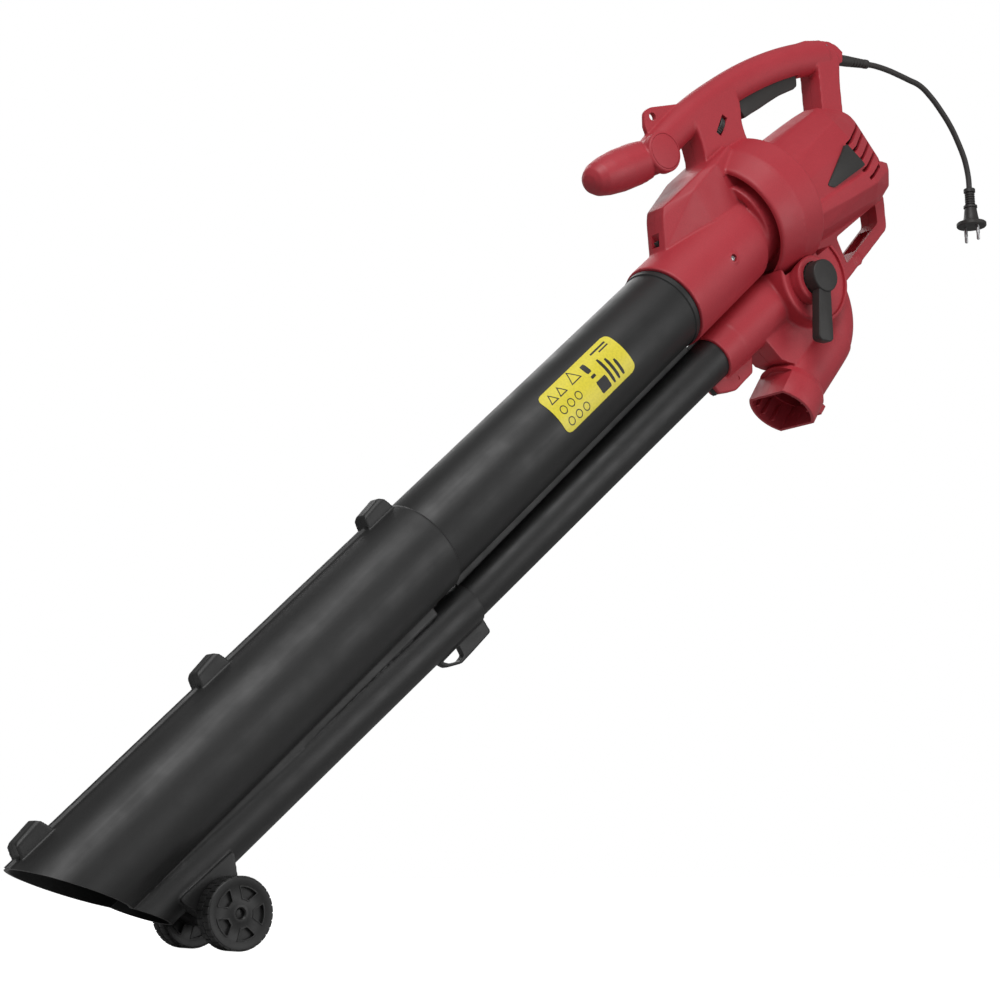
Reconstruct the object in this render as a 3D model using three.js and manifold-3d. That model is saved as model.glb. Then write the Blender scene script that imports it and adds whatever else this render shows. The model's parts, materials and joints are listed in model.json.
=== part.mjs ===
// Electric leaf blower and vacuum mulcher, in its working pose: the tubes slope down to the wheels.
// Units are millimetres. The part's frame has +X towards the rear, +Y to the machine's right, +Z up.
// Everything is drawn in the tool frame: x runs along the suction tube towards the handle, y is the
// machine's right and z points from the tube to the handle. One group then tilts it all.
import * as THREE from 'three';
import { ConvexGeometry } from 'three/addons/geometries/ConvexGeometry.js';
import { mergeVertices } from 'three/addons/utils/BufferGeometryUtils.js';
import Module from 'manifold-3d';

const wasm = await Module();
wasm.setup();

// ---- driving dimensions -------------------------------------------------------------------------
const DEG = Math.PI / 180;
const TOOL_TILT = 42.7 * DEG;
const FIT_GAP = 0.3;
// Share of the facets asked for that round shapes really get.
const DETAIL = 0.7;
const facets = (count) => Math.max(8, Math.round(count * DETAIL));
const GRIP_POINT = [730, 0, 123];

const TUBE_RADIUS = 47;
const TUBE_WALL = 2.2;
const TUBE_START = -60;
const TUBE_END = 455;

const NOZZLE_RADIUS = 50.5;
const NOZZLE_WALL = 3;
const NOZZLE_END = -21;
const MOUTH_TOP = [-526, 51];
const MOUTH_BOTTOM = [-446, -90];

const BLOW_FRONT = [-54, -75.2];
const BLOW_REAR = [458, -79.8];
const BLOW_FRONT_RADIUS = 19.7;
const BLOW_REAR_RADIUS = 25.3;
const BLOW_WALL = 2;
const BARREL_TOP = [-14, -75.5];
const BARREL_TOP_RADIUS = 22.6;
const BARREL_MOUTH = [-540, -56.5];
const BARREL_MOUTH_RADIUS = 27;

const WHEEL_AXLE = [-412, -106];
const WHEEL_RADIUS = 31.7;
const WHEEL_WIDTH = 20;
const WHEEL_CENTRE_Y = 42;
const AXLE_RADIUS = 4;
const AXLE_INSET = 5;

const SLEEVE_START = 411;
const SLEEVE_RADIUS = 51;
const HEAD_ORIGIN = [559, 12];
const HEAD_TILT = 6.4 * DEG;
const DRUM_RADIUS = 82.5;
const DRUM_LENGTH = 66;
const SHELL_WALL = 3;
const SHAFT_RADIUS = 4;
const DISH_DEPTH = 20;
const WALL_START = 61;
const WALL_END = 66;

const HANDLE_HALF_WIDTH = 17.5;
const HANDLE_HALF_HEIGHT = 20;
const HANDLE_LINE = [
  [512, 135], [560, 139.5], [610, 139.5], [655, 136], [700, 130], [745, 120.5], [790, 107], [838, 88],
];

const AUX_PIVOT = [511.5, 135];
const AUX_RISE = 14.3 * DEG;
const LEVER_PIVOT = [579, -83];
const LEVER_ARM_ANGLE = -133 * DEG;
const FLAP_CENTRE = [590, -85.5];
const FLAP_HOUSING_RADIUS = 52.8;
const FLAP_HOUSING_HALF_WIDTH = 45;
const ELBOW_CENTRE = [570, -113];
const ELBOW_BEND = 55;
const ELBOW_END = -75 * DEG;
const ELBOW_RADIUS = 33;
const PORT_RADIUS = 39;
const PORT_RING = [508, -177];
const PORT_DIP = 15 * DEG;
const PORT_LENGTH = 31;
const PORT_HALF_HEIGHT = 28.5;

const CORD_RADIUS = 3.5;
const CORD_EXIT = [906, 41];
const CORD_ROUTE = [
  [906, 41], [914, 35.2], [921, 29.5], [936, 15.5], [948, 2.5], [959, -10], [973, -27], [980, -46], [984, -70],
  [985, -95], [982, -117], [977, -137], [973, -146], [968.5, -154], [963, -162], [956, -170],
];

const NOZZLE_BOSSES = [-44, -278, -497];
const HOOK_HOLE = [[-51, -98.5], [-53, -109.5], [-61, -110.5], [-72, -104.5], [-77, -98.5]];
// Five slots stacked on the chamfer of each rear corner.
const VENT_HEIGHTS = [4, -7, -20.5, -33, -44.5];
const VENT_HALF_HEIGHT = 2.2;
const RELIEF_LENGTH = 58;
const SLEEVE_SCREW = [491, 1];
// Each housing screw's place and the height of the outer face that its head sits on.
const HOUSING_SCREWS = [[568, 140, 17.5], [848, 95, 16.5], [774, -102, 13], [504, 72, 31]];
const DIAL_CENTRE = [617.5, -5.5, 111.5];
const DIAL_RADIUS = 14.5;
const DIAL_TILT = 25.5 * DEG;
const SMALL_SLEEVE_START = 428;
const SHUTTER_RADIUS = 33.5;
const SELECTOR_SHAFT_RADIUS = 4;
const TRIGGER_PIVOT = [768, 96];

// ---- materials ----------------------------------------------------------------------------------
const finish = (color, roughness, metalness = 0) => ({ color, roughness, metalness });
const RED = finish(0xb03a42, 0.5);
const BLACK = finish(0x2b2b2b, 0.4);
const DARK = finish(0x3a3836, 0.55);
const STEEL = finish(0x9a9a9c, 0.3, 1);
const COPPER = finish(0xa8642f, 0.35, 1);
const YELLOW = finish(0xe8dc20, 0.45);
const GREEN = finish(0x2c5a3a, 0.6);
const BRASS = finish(0xb9974f, 0.3, 1);

// ---- solids -------------------------------------------------------------------------------------
// A closed three.js geometry as a manifold-3d solid.
function solid(geometry) {
  const bare = geometry.index ? geometry.toNonIndexed() : geometry.clone();
  bare.deleteAttribute('normal');
  bare.deleteAttribute('uv');
  const merged = mergeVertices(bare, 1e-4);
  const mesh = new wasm.Mesh({
    numProp: 3,
    vertProperties: new Float32Array(merged.attributes.position.array),
    triVerts: new Uint32Array(merged.index.array),
  });
  mesh.merge();
  return new wasm.Manifold(mesh);
}

// A manifold-3d solid as a three.js geometry with flat shading.
function geometryOf(manifold) {
  const mesh = manifold.getMesh();
  const geometry = new THREE.BufferGeometry();
  geometry.setAttribute('position', new THREE.BufferAttribute(Float32Array.from(mesh.vertProperties), 3));
  geometry.setIndex(new THREE.BufferAttribute(Uint32Array.from(mesh.triVerts), 1));
  const flat = geometry.toNonIndexed();
  flat.computeVertexNormals();
  return flat;
}

const join = (...parts) => parts.reduce((whole, piece) => whole.add(piece));
const cut = (body, ...tools) => tools.reduce((whole, tool) => whole.subtract(tool), body);

// A body turned about the x direction: profile points are [station along x, radius].
function turned(profile, segments = 40) {
  const points = profile.map(([station, radius]) => new THREE.Vector2(radius, station));
  const geometry = new THREE.LatheGeometry(points, facets(segments));
  geometry.rotateZ(-Math.PI / 2);
  return solid(geometry);
}

// A solid round bar or cone between two stations on the x axis.
function bar(start, startRadius, end, endRadius = startRadius, segments = 40) {
  return turned([[start, 0], [start, startRadius], [end, endRadius], [end, 0]], segments);
}

// A round ring between two stations on the x axis.
function ring(start, end, outer, inner, segments = 40) {
  return turned([[start, inner], [start, outer], [end, outer], [end, inner], [start, inner]], segments);
}

// A cone between two points of the x-z plane.
function cone(from, fromRadius, to, toRadius, segments = 32) {
  const length = Math.hypot(to[0] - from[0], to[1] - from[1]);
  const geometry = geometryOf(bar(0, fromRadius, length, toRadius, segments));
  geometry.rotateY(-Math.atan2(to[1] - from[1], to[0] - from[0]));
  geometry.translate(from[0], 0, from[1]);
  return solid(geometry);
}

// A round bar along y, centred on a point of the x-z plane.
function pin(at, radius, fromY, toY, segments = 28) {
  const geometry = new THREE.CylinderGeometry(radius, radius, toY - fromY, facets(segments));
  geometry.translate(at[0], (fromY + toY) / 2, at[1]);
  return solid(geometry);
}

// A box given by its limits.
function box(x0, x1, y0, y1, z0, z1) {
  const geometry = new THREE.BoxGeometry(x1 - x0, y1 - y0, z1 - z0);
  geometry.translate((x0 + x1) / 2, (y0 + y1) / 2, (z0 + z1) / 2);
  return solid(geometry);
}

// A flat outline in the x-z plane, given thickness along y.
function plate(outline, fromY, toY) {
  const shape = Array.isArray(outline) ? new THREE.Shape(outline.map(([x, z]) => new THREE.Vector2(x,
      z))) : outline;
  const geometry = new THREE.ExtrudeGeometry(shape, { depth: toY - fromY, bevelEnabled: false,
      curveSegments: 8 });
  geometry.rotateX(Math.PI / 2);
  geometry.translate(0, toY, 0);
  return solid(geometry);
}

// An ellipse swept along a line of [x, z] points; the ellipse is halfWidth along y.
function swept(line, halfWidth, halfHeight, steps, segments = 24) {
  const curve = new THREE.CatmullRomCurve3(line.map(([x, z]) => new THREE.Vector3(x, 0, z)));
  return sweptAlong(curve, halfWidth, halfHeight, steps, segments);
}

function sweptAlong(curve, halfWidth, halfHeight, steps, segments = 24) {
  const count = facets(segments);
  const outline = new THREE.Shape(Array.from({ length: count }, (_, index) => new THREE.Vector2(
    halfWidth * Math.cos((index * 2 * Math.PI) / count),
    halfHeight * Math.sin((index * 2 * Math.PI) / count))));
  return solid(new THREE.ExtrudeGeometry(outline, { steps, bevelEnabled: false, extrudePath: curve }));
}

// The convex solid round a list of [x, y, z] points and their mirror images across the parting plane.
function wrapped(points) {
  const both = points.flatMap(([x, y, z]) => (y === 0 ? [[x, 0, z]] : [[x, y, z], [x, -y, z]]));
  return solid(new ConvexGeometry(both.map((point) => new THREE.Vector3(...point))));
}

// Moves a solid from the head frame, whose x axis is the motor shaft, to the tool frame.
function inHead(manifold) {
  const geometry = geometryOf(manifold);
  geometry.rotateY(HEAD_TILT);
  geometry.translate(HEAD_ORIGIN[0], 0, HEAD_ORIGIN[1]);
  return solid(geometry);
}

// The half of a solid on one side of the parting plane: -1 is the machine's left, +1 its right.
function half(manifold, side) {
  const reach = 400;
  const inner = FIT_GAP / 2;
  const keep = side < 0 ? box(-900, 1300, -reach, -inner, -reach, reach) : box(-900, 1300, inner, reach,
      -reach, reach);
  return manifold.intersect(keep);
}

function mesh(name, manifold, look) {
  const material = new THREE.MeshStandardMaterial(look);
  const result = new THREE.Mesh(geometryOf(manifold), material);
  result.name = name;
  return result;
}

// ---- nozzle: the lower double tube, in two screwed halves ------------------------------------------

// Points of the blow tube's axis, which falls away slightly from the suction tube towards the head.
const BLOW_SLOPE = (BLOW_REAR[1] - BLOW_FRONT[1]) / (BLOW_REAR[0] - BLOW_FRONT[0]);
const blowAxis = (x) => [x, BLOW_FRONT[1] + (x - BLOW_FRONT[0]) * BLOW_SLOPE];

function mouthCutter() {
  const [dx, dz] = [MOUTH_BOTTOM[0] - MOUTH_TOP[0], MOUTH_BOTTOM[1] - MOUTH_TOP[1]];
  const above = [MOUTH_TOP[0] - dx, MOUTH_TOP[1] - dz];
  const below = [MOUTH_BOTTOM[0] + dx, MOUTH_BOTTOM[1] + dz];
  return plate([above, below, [-800, below[1]], [-800, above[1]]], -120, 120);
}

function nozzleBoss(x) {
  return plate([[x - 19, 46], [x - 12, 64], [x + 12, 66], [x + 20, 46]], -9, 9);
}

function wheelBracket(side) {
  const [x, z] = WHEEL_AXLE;
  const inner = side * 10;
  const outer = side * 29;
  const blade = plate([[x - 26, z + 38], [x - 12, z - 4], [x + 12, z - 4], [x + 38, z + 38]],
    Math.min(inner, outer), Math.max(inner, outer));
  return blade.add(pin(WHEEL_AXLE, 12, Math.min(inner, outer), Math.max(inner, outer)));
}


function bagEye() {
  return plate([[-10, -90], [-12, -113], [-60, -114], [-78, -105], [-84, -92], [-84, -86]], -4, 4);
}

function nozzleBody() {
  const main = bar(-560, NOZZLE_RADIUS - 1.3, NOZZLE_END, NOZZLE_RADIUS, 40);
  const barrel = cone(BARREL_MOUTH, BARREL_MOUTH_RADIUS, BARREL_TOP, BARREL_TOP_RADIUS);
  const web = plate([[-540, -30], [-62, -40], [-62, -72], [-540, -62]], -15, 15);
  const ridge = plate([[-540, 44], [-62, 44], [-62, 53], [-540, 52]], -3, 3);
  const outer = join(main, barrel, web, ridge, bagEye(), ...NOZZLE_BOSSES.map(nozzleBoss),
    wheelBracket(-1), wheelBracket(1));
  const bore = bar(-560, NOZZLE_RADIUS - NOZZLE_WALL - 1.3, TUBE_START - 2,
      NOZZLE_RADIUS - NOZZLE_WALL - 0.6, 40);
  const socket = bar(TUBE_START - 2, TUBE_RADIUS + FIT_GAP, 0, TUBE_RADIUS + FIT_GAP, 40);
  const air = cone(BARREL_MOUTH, BARREL_MOUTH_RADIUS - 2.6, BARREL_TOP, BARREL_TOP_RADIUS - 2.6)
    .subtract(bar(-580, NOZZLE_RADIUS - 1.4, 20, NOZZLE_RADIUS, 40));
  const blowSocket = cone(blowAxis(BLOW_FRONT[0] - 2), BLOW_FRONT_RADIUS + FIT_GAP, blowAxis(0),
    BLOW_FRONT_RADIUS + FIT_GAP + 0.7);
  const screws = NOZZLE_BOSSES.map((x) => pin([x, 57], 2.6, -20, 20, 16));
  return cut(outer, bore, socket, air, blowSocket, mouthCutter(), ...screws,
    pin(WHEEL_AXLE, AXLE_RADIUS + FIT_GAP, -40, 40, 20), plate(HOOK_HOLE, -20, 20));
}

function nozzleScrews() {
  const one = (x) => join(pin([x, 57], 2.3, -7.5, 9.4, 14), pin([x, 57], 4.2, 9.3, 12, 14));
  return NOZZLE_BOSSES.map((x, index) => mesh(`nozzle_screw_${index + 1}`, one(x), STEEL));
}

function wheel() {
  const rim = WHEEL_WIDTH / 2;
  const profile = [[-rim, AXLE_RADIUS + FIT_GAP], [-rim, 9], [-rim + 2, 11], [-rim + 2, 22], [-rim, 24],
    [-rim, WHEEL_RADIUS - 1.5], [-rim + 1.5, WHEEL_RADIUS], [rim - 1.5, WHEEL_RADIUS],
    [rim, WHEEL_RADIUS - 1.5],
    [rim, 24], [rim - 2, 22], [rim - 2, 11], [rim, 9], [rim, AXLE_RADIUS + FIT_GAP],
    [-rim, AXLE_RADIUS + FIT_GAP]];
  const geometry = geometryOf(turned(profile, 24));
  geometry.rotateZ(Math.PI / 2);
  const pockets = [0, 1, 2, 3, 4].flatMap((step) => {
    const angle = (step * 72 + 27) * DEG;
    const at = [16.5 * Math.cos(angle), 16.5 * Math.sin(angle)];
    return [pin(at, 5, -20, 3 - rim, 8), pin(at, 5, rim - 3, 20, 8)];
  });
  return cut(solid(geometry), ...pockets);
}

function wheels() {
  const group = new THREE.Group();
  for (const [name, side] of [['wheel_left', -1], ['wheel_right', 1]]) {
    const part = mesh(name, wheel(), BLACK);
    part.position.set(WHEEL_AXLE[0], side * WHEEL_CENTRE_Y, WHEEL_AXLE[1]);
    group.add(part);
  }
  const reach = WHEEL_CENTRE_Y + WHEEL_WIDTH / 2 - AXLE_INSET;
  group.add(mesh('wheel_axle', pin(WHEEL_AXLE, AXLE_RADIUS, -reach, reach, 20), STEEL));
  return group;
}

// ---- upper tubes --------------------------------------------------------------------------------
function suctionTube() {
  const collar = ring(SLEEVE_START - 8, SLEEVE_START - 2, TUBE_RADIUS + 1.5, TUBE_RADIUS - 1, 40);
  const web = plate([[-12, -45.5], [408, -45.5], [408, -57], [-12, -57]], -1.5, 1.5)
    .subtract(cone(blowAxis(-30), BLOW_FRONT_RADIUS + 0.2 + FIT_GAP, blowAxis(BLOW_REAR[0]),
        BLOW_REAR_RADIUS + FIT_GAP));
  return join(ring(TUBE_START, TUBE_END, TUBE_RADIUS, TUBE_RADIUS - TUBE_WALL, 40), collar, web);
}

function blowTube() {
  const outer = cone(BLOW_FRONT, BLOW_FRONT_RADIUS, BLOW_REAR, BLOW_REAR_RADIUS);
  const inner = cone(blowAxis(BLOW_FRONT[0] - 5), BLOW_FRONT_RADIUS - BLOW_WALL,
      blowAxis(BLOW_REAR[0] + 5),
    BLOW_REAR_RADIUS - BLOW_WALL);
  return cut(outer, inner);
}

function tubeLabel() {
  const band = ring(170, 293, TUBE_RADIUS + 0.8, TUBE_RADIUS + FIT_GAP, 40);
  const wedge = new THREE.Shape([new THREE.Vector2(0, 0)].concat([43, 58, 73, 88, 103].map((angle) =>
    new THREE.Vector2(-80 * Math.sin(angle * DEG), 80 * Math.cos(angle * DEG)))));
  const geometry = new THREE.ExtrudeGeometry(wedge, { depth: 200, bevelEnabled: false });
  geometry.rotateX(Math.PI / 2);
  geometry.rotateZ(Math.PI / 2);
  geometry.translate(130, 0, 0);
  return band.intersect(solid(geometry));
}

// ---- main housing: sleeve, fairing, drum, motor cover and handle in two halves ---------------------
// A prism with its outline in the x-y plane, between two heights.
function prism(outline, z0, z1) {
  const shape = new THREE.Shape(outline.map(([x, y]) => new THREE.Vector2(x, y)));
  const geometry = new THREE.ExtrudeGeometry(shape, { depth: z1 - z0, bevelEnabled: false });
  geometry.translate(0, 0, z0);
  return solid(geometry);
}

// Mirrors a list of [x, y] points about y = 0 to close a plan outline.
const bothSides = (edge) => edge.concat(edge.map(([x, y]) => [x, -y]).reverse());

function fairing() {
  const profile = [[446, 30], [447, 49], [469, 80], [477, 86], [540, 91], [566, 94], [625, 94], [625, 30]];
  const plan = bothSides([[440, 14], [476, 14], [512, 30], [565, 36], [630, 32]]);
  return plate(profile, -60, 60).intersect(prism(plan, 0, 120));
}

function drum(grow) {
  const outer = DRUM_RADIUS + grow;
  return inHead(turned([[-grow, 0], [-grow, 70 + grow], [4, 74 + grow], [29, outer - 1], [31, outer],
    [DRUM_LENGTH + grow, outer], [DRUM_LENGTH + grow + 3, outer - 4], [DRUM_LENGTH + grow + 3, 0]], 40));
}

// Half of a round section of the motor cover, from its top to its bottom.
const coverArc = (x, halfWidth, halfHeight, middle) => Array.from({ length: 13 }, (_, index) => {
  const angle = (index * Math.PI) / 12;
  return [x, halfWidth * Math.sin(angle), middle + halfHeight * Math.cos(angle)];
});

// The motor cover is round at the drum. Farther back it has flat side panels, and a vented chamfer at each
// rear corner.
function motorCover() {
  const upper = wrapped([...coverArc(618, 63, 62, 3), ...coverArc(655, 61.5, 60, 0).slice(0, 4),
    [700, 0, 58], [700, 26, 53.5], [700, 52, 33], [700, 58, -25], [700, 56, -50], [700, 20, -72],
    [746, 0, 56], [746, 24, 52], [746, 48, 33], [746, 57, 0], [746, 57, -30], [746, 55, -55],
    [766, 0, 53], [766, 20, 50], [788, 36, 8], [792, 38, -44], [770, 48, -62], [780, 20, -80],
    [798, 0, 27], [798, 24, 25], [806, 0, 17], [806, 22, 16], [805, 25, 8], [808, 25, -46],
    [808, 0, -50]]);
  return upper.add(wrapped(COVER_BAND));
}

// The band that bulges out along the bottom of the motor cover and round its rear.
const COVER_BAND = [[624, 61, -18], [624, 62, -30], [624, 50, -50], [640, 20, -66], [700, 61.5, -29],
  [700, 61, -46], [700, 44, -64], [700, 0, -76], [746, 60, -36], [746, 59, -55], [750, 40, -74],
  [760, 0, -86],
  [785, 45, -43], [788, 45, -58], [786, 36, -76], [798, 38, -52], [817, 25, -58], [813, 25, -66],
  [795, 25, -80],
  [772, 25, -85], [820, 0, -60], [815, 0, -74], [798, 0, -88], [775, 0, -91]];

// The sleeve and the drum; grow is the room that the parts around them leave.
const headFront = (grow) => join(bar(SLEEVE_START, SLEEVE_RADIUS + grow, 575, SLEEVE_RADIUS + grow, 40),
    drum(grow));

function handleShape(inset) {
  const line = inset > 0 ? HANDLE_LINE.slice(1) : HANDLE_LINE;
  return swept(line, HANDLE_HALF_WIDTH - inset, HANDLE_HALF_HEIGHT - inset, 12, 24);
}

function handleEnd() {
  return wrapped([[800, 0, 124], [800, 14, 112], [822, 8, 117], [846, 6, 105], [860, 6, 96], [867, 7, 86],
    [866, 11, 76], [852, 15, 68], [815, 16, 78]]);
}

function frontPillar() {
  return plate([[584, 136], [578, 114], [568, 93], [556, 84], [556, 60], [640, 60], [642, 81], [648, 98],
      [664, 118],
    [664, 134]], -HANDLE_HALF_WIDTH, HANDLE_HALF_WIDTH);
}

function rearPillar() {
  return plate([[815, 92], [775, 40], [775, 20], [800, 15], [830, 54], [853, 78], [846, 92]], -16, 16);
}

function strapEyelet() {
  const outer = plate([[524, 140], [529, 165], [540, 178], [551, 178], [600, 156], [600, 140]], -3, 3);
  return outer.subtract(pin([547, 168], 4.8, -20, 20, 20));
}

function rearLoop() {
  const outer = plate([[736, -62], [789, -76], [797, -88], [771, -121], [664, -130], [634, -128],
      [633, -98], [660, -64]],
    -13, 13);
  return cut(outer, plate([[688, -82], [775, -88], [762, -107], [680, -114.5]], -30, 30),
      flapHousing(FIT_GAP),
    sweptAlong(elbowCurve(50 * DEG, ELBOW_END, 0), ELBOW_RADIUS + FIT_GAP + 0.5,
        ELBOW_RADIUS + FIT_GAP + 0.5, 12, 24));
}

function motorBay() {
  const bay = turned([[WALL_END, 0], [WALL_END, 60], [120, 57], [165, 52], [204, 46], [220, 32],
      [238, 20], [238, 0]], 28);
  const ribs = [108, 153].map((s) => ring(s, s + 4, 70, 46.4, 40));
  const seat = ring(WALL_END - 1, 74, 16, 11.3, 28);
  return cut(bay, ...ribs, seat);
}

function housingHollow() {
  const socket = bar(400, TUBE_RADIUS + FIT_GAP, TUBE_END + 1, TUBE_RADIUS + FIT_GAP, 40);
  const intake = bar(TUBE_END, 44, 590, 44, 40);
  const chamberStart = DISH_DEPTH + 3;
  const chamber = inHead(turned([[chamberStart, 0], [chamberStart, 68], [chamberStart + 8, 78.5],
      [WALL_START, 78.5],
    [WALL_START, 0]], 28));
  const dish = inHead(ring(-6, DISH_DEPTH, 69.5, 56, 36).subtract(box(-10, 40, -60, 60, 30, 120)));
  const shaftHole = inHead(bar(50, 8, WALL_END + 1, 8, 24));
  const handle = handleShape(3);
  const front = plate([[594, 128], [586, 108], [590, 97], [637, 97], [650, 118], [655, 128]], -14, 14);
  const rear = plate([[812, 95], [782, 57], [786, 30], [800, 26], [826, 58], [846, 84], [836, 96]], -13,
      13);
  return join(socket, intake, chamber, dish, shaftHole, inHead(motorBay()), handle, front, rear);
}

function outletDuct() {
  return box(572, 612, -32, 32, -100, -40);
}


function vents() {
  const plan = [[740, 66], [806, 34], [796, 14], [728, 46]];
  return VENT_HEIGHTS.flatMap((z) => [1, -1].map((side) => prism(plan.map(([x, y]) => [x, side * y]),
    z - VENT_HALF_HEIGHT, z + VENT_HALF_HEIGHT)));
}

// Direction of the strain relief as it leaves the handle, and points along it.
const reliefPoint = (back) => {
  const [dx, dz] = [CORD_EXIT[0] - 861, CORD_EXIT[1] - 72.2];
  const length = Math.hypot(dx, dz);
  return [CORD_EXIT[0] - (dx * back) / length, CORD_EXIT[1] - (dz * back) / length];
};


function dialSlot() {
  const geometry = new THREE.BoxGeometry(25.5, 20, 8);
  geometry.rotateY(-DIAL_TILT);
  geometry.translate(DIAL_CENTRE[0], -18, DIAL_CENTRE[2]);
  return solid(geometry);
}

function housing() {
  const collar = inHead(bar(-4, 56, DISH_DEPTH + 4, 56, 36));
  const pivotLug = pin(AUX_PIVOT, 20, -17.5, 17.5, 32);
  const outer = join(headFront(0), motorCover(), collar, fairing(), frontPillar(), rearPillar(),
      handleShape(0), handleEnd(),
    strapEyelet(), rearLoop(), pivotLug);
  const holes = HOUSING_SCREWS.map((at) => pin(at, 2.6, -9.3, 60, 14));
  const posts = HOUSING_SCREWS.map((at) => pin(at, 5.5, -15.5, 15.5, 16));
  const hollow = cut(housingHollow(), ...posts);
  return cut(outer, hollow, outletDuct(), ...vents(), ...holes, dialSlot(),
    box(663, 779, -9, 9, 70, 127), cone(reliefPoint(90), 7.4, reliefPoint(20), 7.4, 24),
    pin(AUX_PIVOT, 4.4, -40, 40, 20), pin(SLEEVE_SCREW, 4.8, -60, -48.9, 20),
    pin(SLEEVE_SCREW, 2.3, -60, -40, 16), latchSlot(), pin(TRIGGER_PIVOT, 2.3, -12, 12, 16));
}

function latchSlot() {
  return box(449, 459, -6, 6, 49, 60);
}

function tubeLatch() {
  return join(box(449.5, 458.5, -5.5, 5.5, 50.5, 54), box(452, 456, -2.5, 2.5, 54, 58));
}

function housingScrews() {
  const screws = HOUSING_SCREWS.map(([x, z, face], index) => {
    const screw = join(pin([x, z], 2.3, -9, face + 0.4, 12), pin([x, z], 4, face + FIT_GAP, face + 2.4,
        14));
    return mesh(`housing_screw_${index + 1}`, screw, STEEL);
  });
  const short = join(pin(SLEEVE_SCREW, 2, -49, -47.6, 12), pin(SLEEVE_SCREW, 4, -50.4, -48.95, 14));
  return [...screws, mesh('sleeve_screw', short, STEEL)];
}

// ---- flap housing below the drum, elbow and bag port ----------------------------------------------
// A point given by its distance along the port's axis from the port's ring, and its height off the axis.
const portPoint = (along, up) => [
  PORT_RING[0] - along * Math.cos(PORT_DIP) - up * Math.sin(PORT_DIP),
  PORT_RING[1] - along * Math.sin(PORT_DIP) + up * Math.cos(PORT_DIP),
];

// The line of the elbow from one angle on its bend to another, and on past the port's ring.
function elbowCurve(from, to, extra) {
  const steps = 10;
  const points = [];
  for (let step = 0; step <= steps; step += 1) {
    const angle = from + ((to - from) * step) / steps;
    points.push(new THREE.Vector3(ELBOW_CENTRE[0] + ELBOW_BEND * Math.cos(angle), 0,
      ELBOW_CENTRE[1] + ELBOW_BEND * Math.sin(angle)));
  }
  const [x, z] = portPoint(extra, 0);
  points.push(new THREE.Vector3(x, 0, z));
  return new THREE.CatmullRomCurve3(points);
}

// Room below the motor cover, so that the flap housing stays clear of it.
const coverRoom = (grow = FIT_GAP) => plate([[614, -70 - grow], [614, 0], [700, 0], [700, -78 - grow]],
    -70, 70);

function flapHousing(grow) {
  return pin(FLAP_CENTRE, FLAP_HOUSING_RADIUS + grow, -FLAP_HOUSING_HALF_WIDTH - grow,
      FLAP_HOUSING_HALF_WIDTH + grow, 40);
}

// Material taken off the round port to give it a flat top and bottom; inset leaves room for a wall.
function portFlats(inset) {
  const near = PORT_HALF_HEIGHT - inset;
  return join(...[1, -1].map((side) => plate([portPoint(-0.6, side * near), portPoint(90, side * near),
    portPoint(90, side * 80), portPoint(-0.6, side * 80)], -60, 60)));
}


function lowerBracket() {
  return plate([[488, -98], [480, -108], [466, -125], [430, -125], [407, -113], [405, -98]], -8, 8);
}

function flapBody() {
  const sleeve = cone(blowAxis(SMALL_SLEEVE_START), 28.5, blowAxis(560), 34);
  const elbow = sweptAlong(elbowCurve(30 * DEG, ELBOW_END, 4), ELBOW_RADIUS, ELBOW_RADIUS, 12, 24);
  const port = cut(join(cone(portPoint(-9, 0), 35, portPoint(0, 0), PORT_RADIUS),
    cone(portPoint(0, 0), PORT_RADIUS, portPoint(PORT_LENGTH, 0), PORT_RADIUS)), portFlats(0));
  const boss = pin(LEVER_PIVOT, 27, -55, -FLAP_HOUSING_HALF_WIDTH + 1, 32);
  const outer = cut(join(flapHousing(0), sleeve, elbow, port, boss, lowerBracket()), headFront(FIT_GAP),
      coverRoom());
  const room = cut(pin(FLAP_CENTRE, FLAP_HOUSING_RADIUS - 4, -41, 41, 40), headFront(2.6), coverRoom(3));
  const airway = sweptAlong(elbowCurve(50 * DEG, ELBOW_END, 10), ELBOW_RADIUS - 3, ELBOW_RADIUS - 3, 12,
      24);
  const mouth = cone(portPoint(-3.3, 0), PORT_RADIUS - 6.2, portPoint(PORT_LENGTH + 5, 0), PORT_RADIUS - 3)
    .subtract(portFlats(3));
  const socket = cone(blowAxis(400), BLOW_REAR_RADIUS - 0.6 + FIT_GAP, blowAxis(460),
      BLOW_REAR_RADIUS + FIT_GAP);
  const blow = cone(blowAxis(459), 23, blowAxis(570), 26);
  const knobWell = pin(LEVER_PIVOT, 20, -60, -50, 32);
  return cut(outer, room, airway.subtract(headFront(2.6)), mouth, socket, blow, outletDuct(), knobWell,
    pin(LEVER_PIVOT, SELECTOR_SHAFT_RADIUS + FIT_GAP, -80, 80, 16), box(404, 428.5, -3.3, 3.3, -114,
        -103), pin([442, -116], 2.6, -30, 30, 16));
}

function blowTubeLatch() {
  return box(405, 428, -3, 3, -113.5, -105);
}

// The shutter is part of a round shell on the lever's shaft. It covers one outlet at a time.

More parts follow.
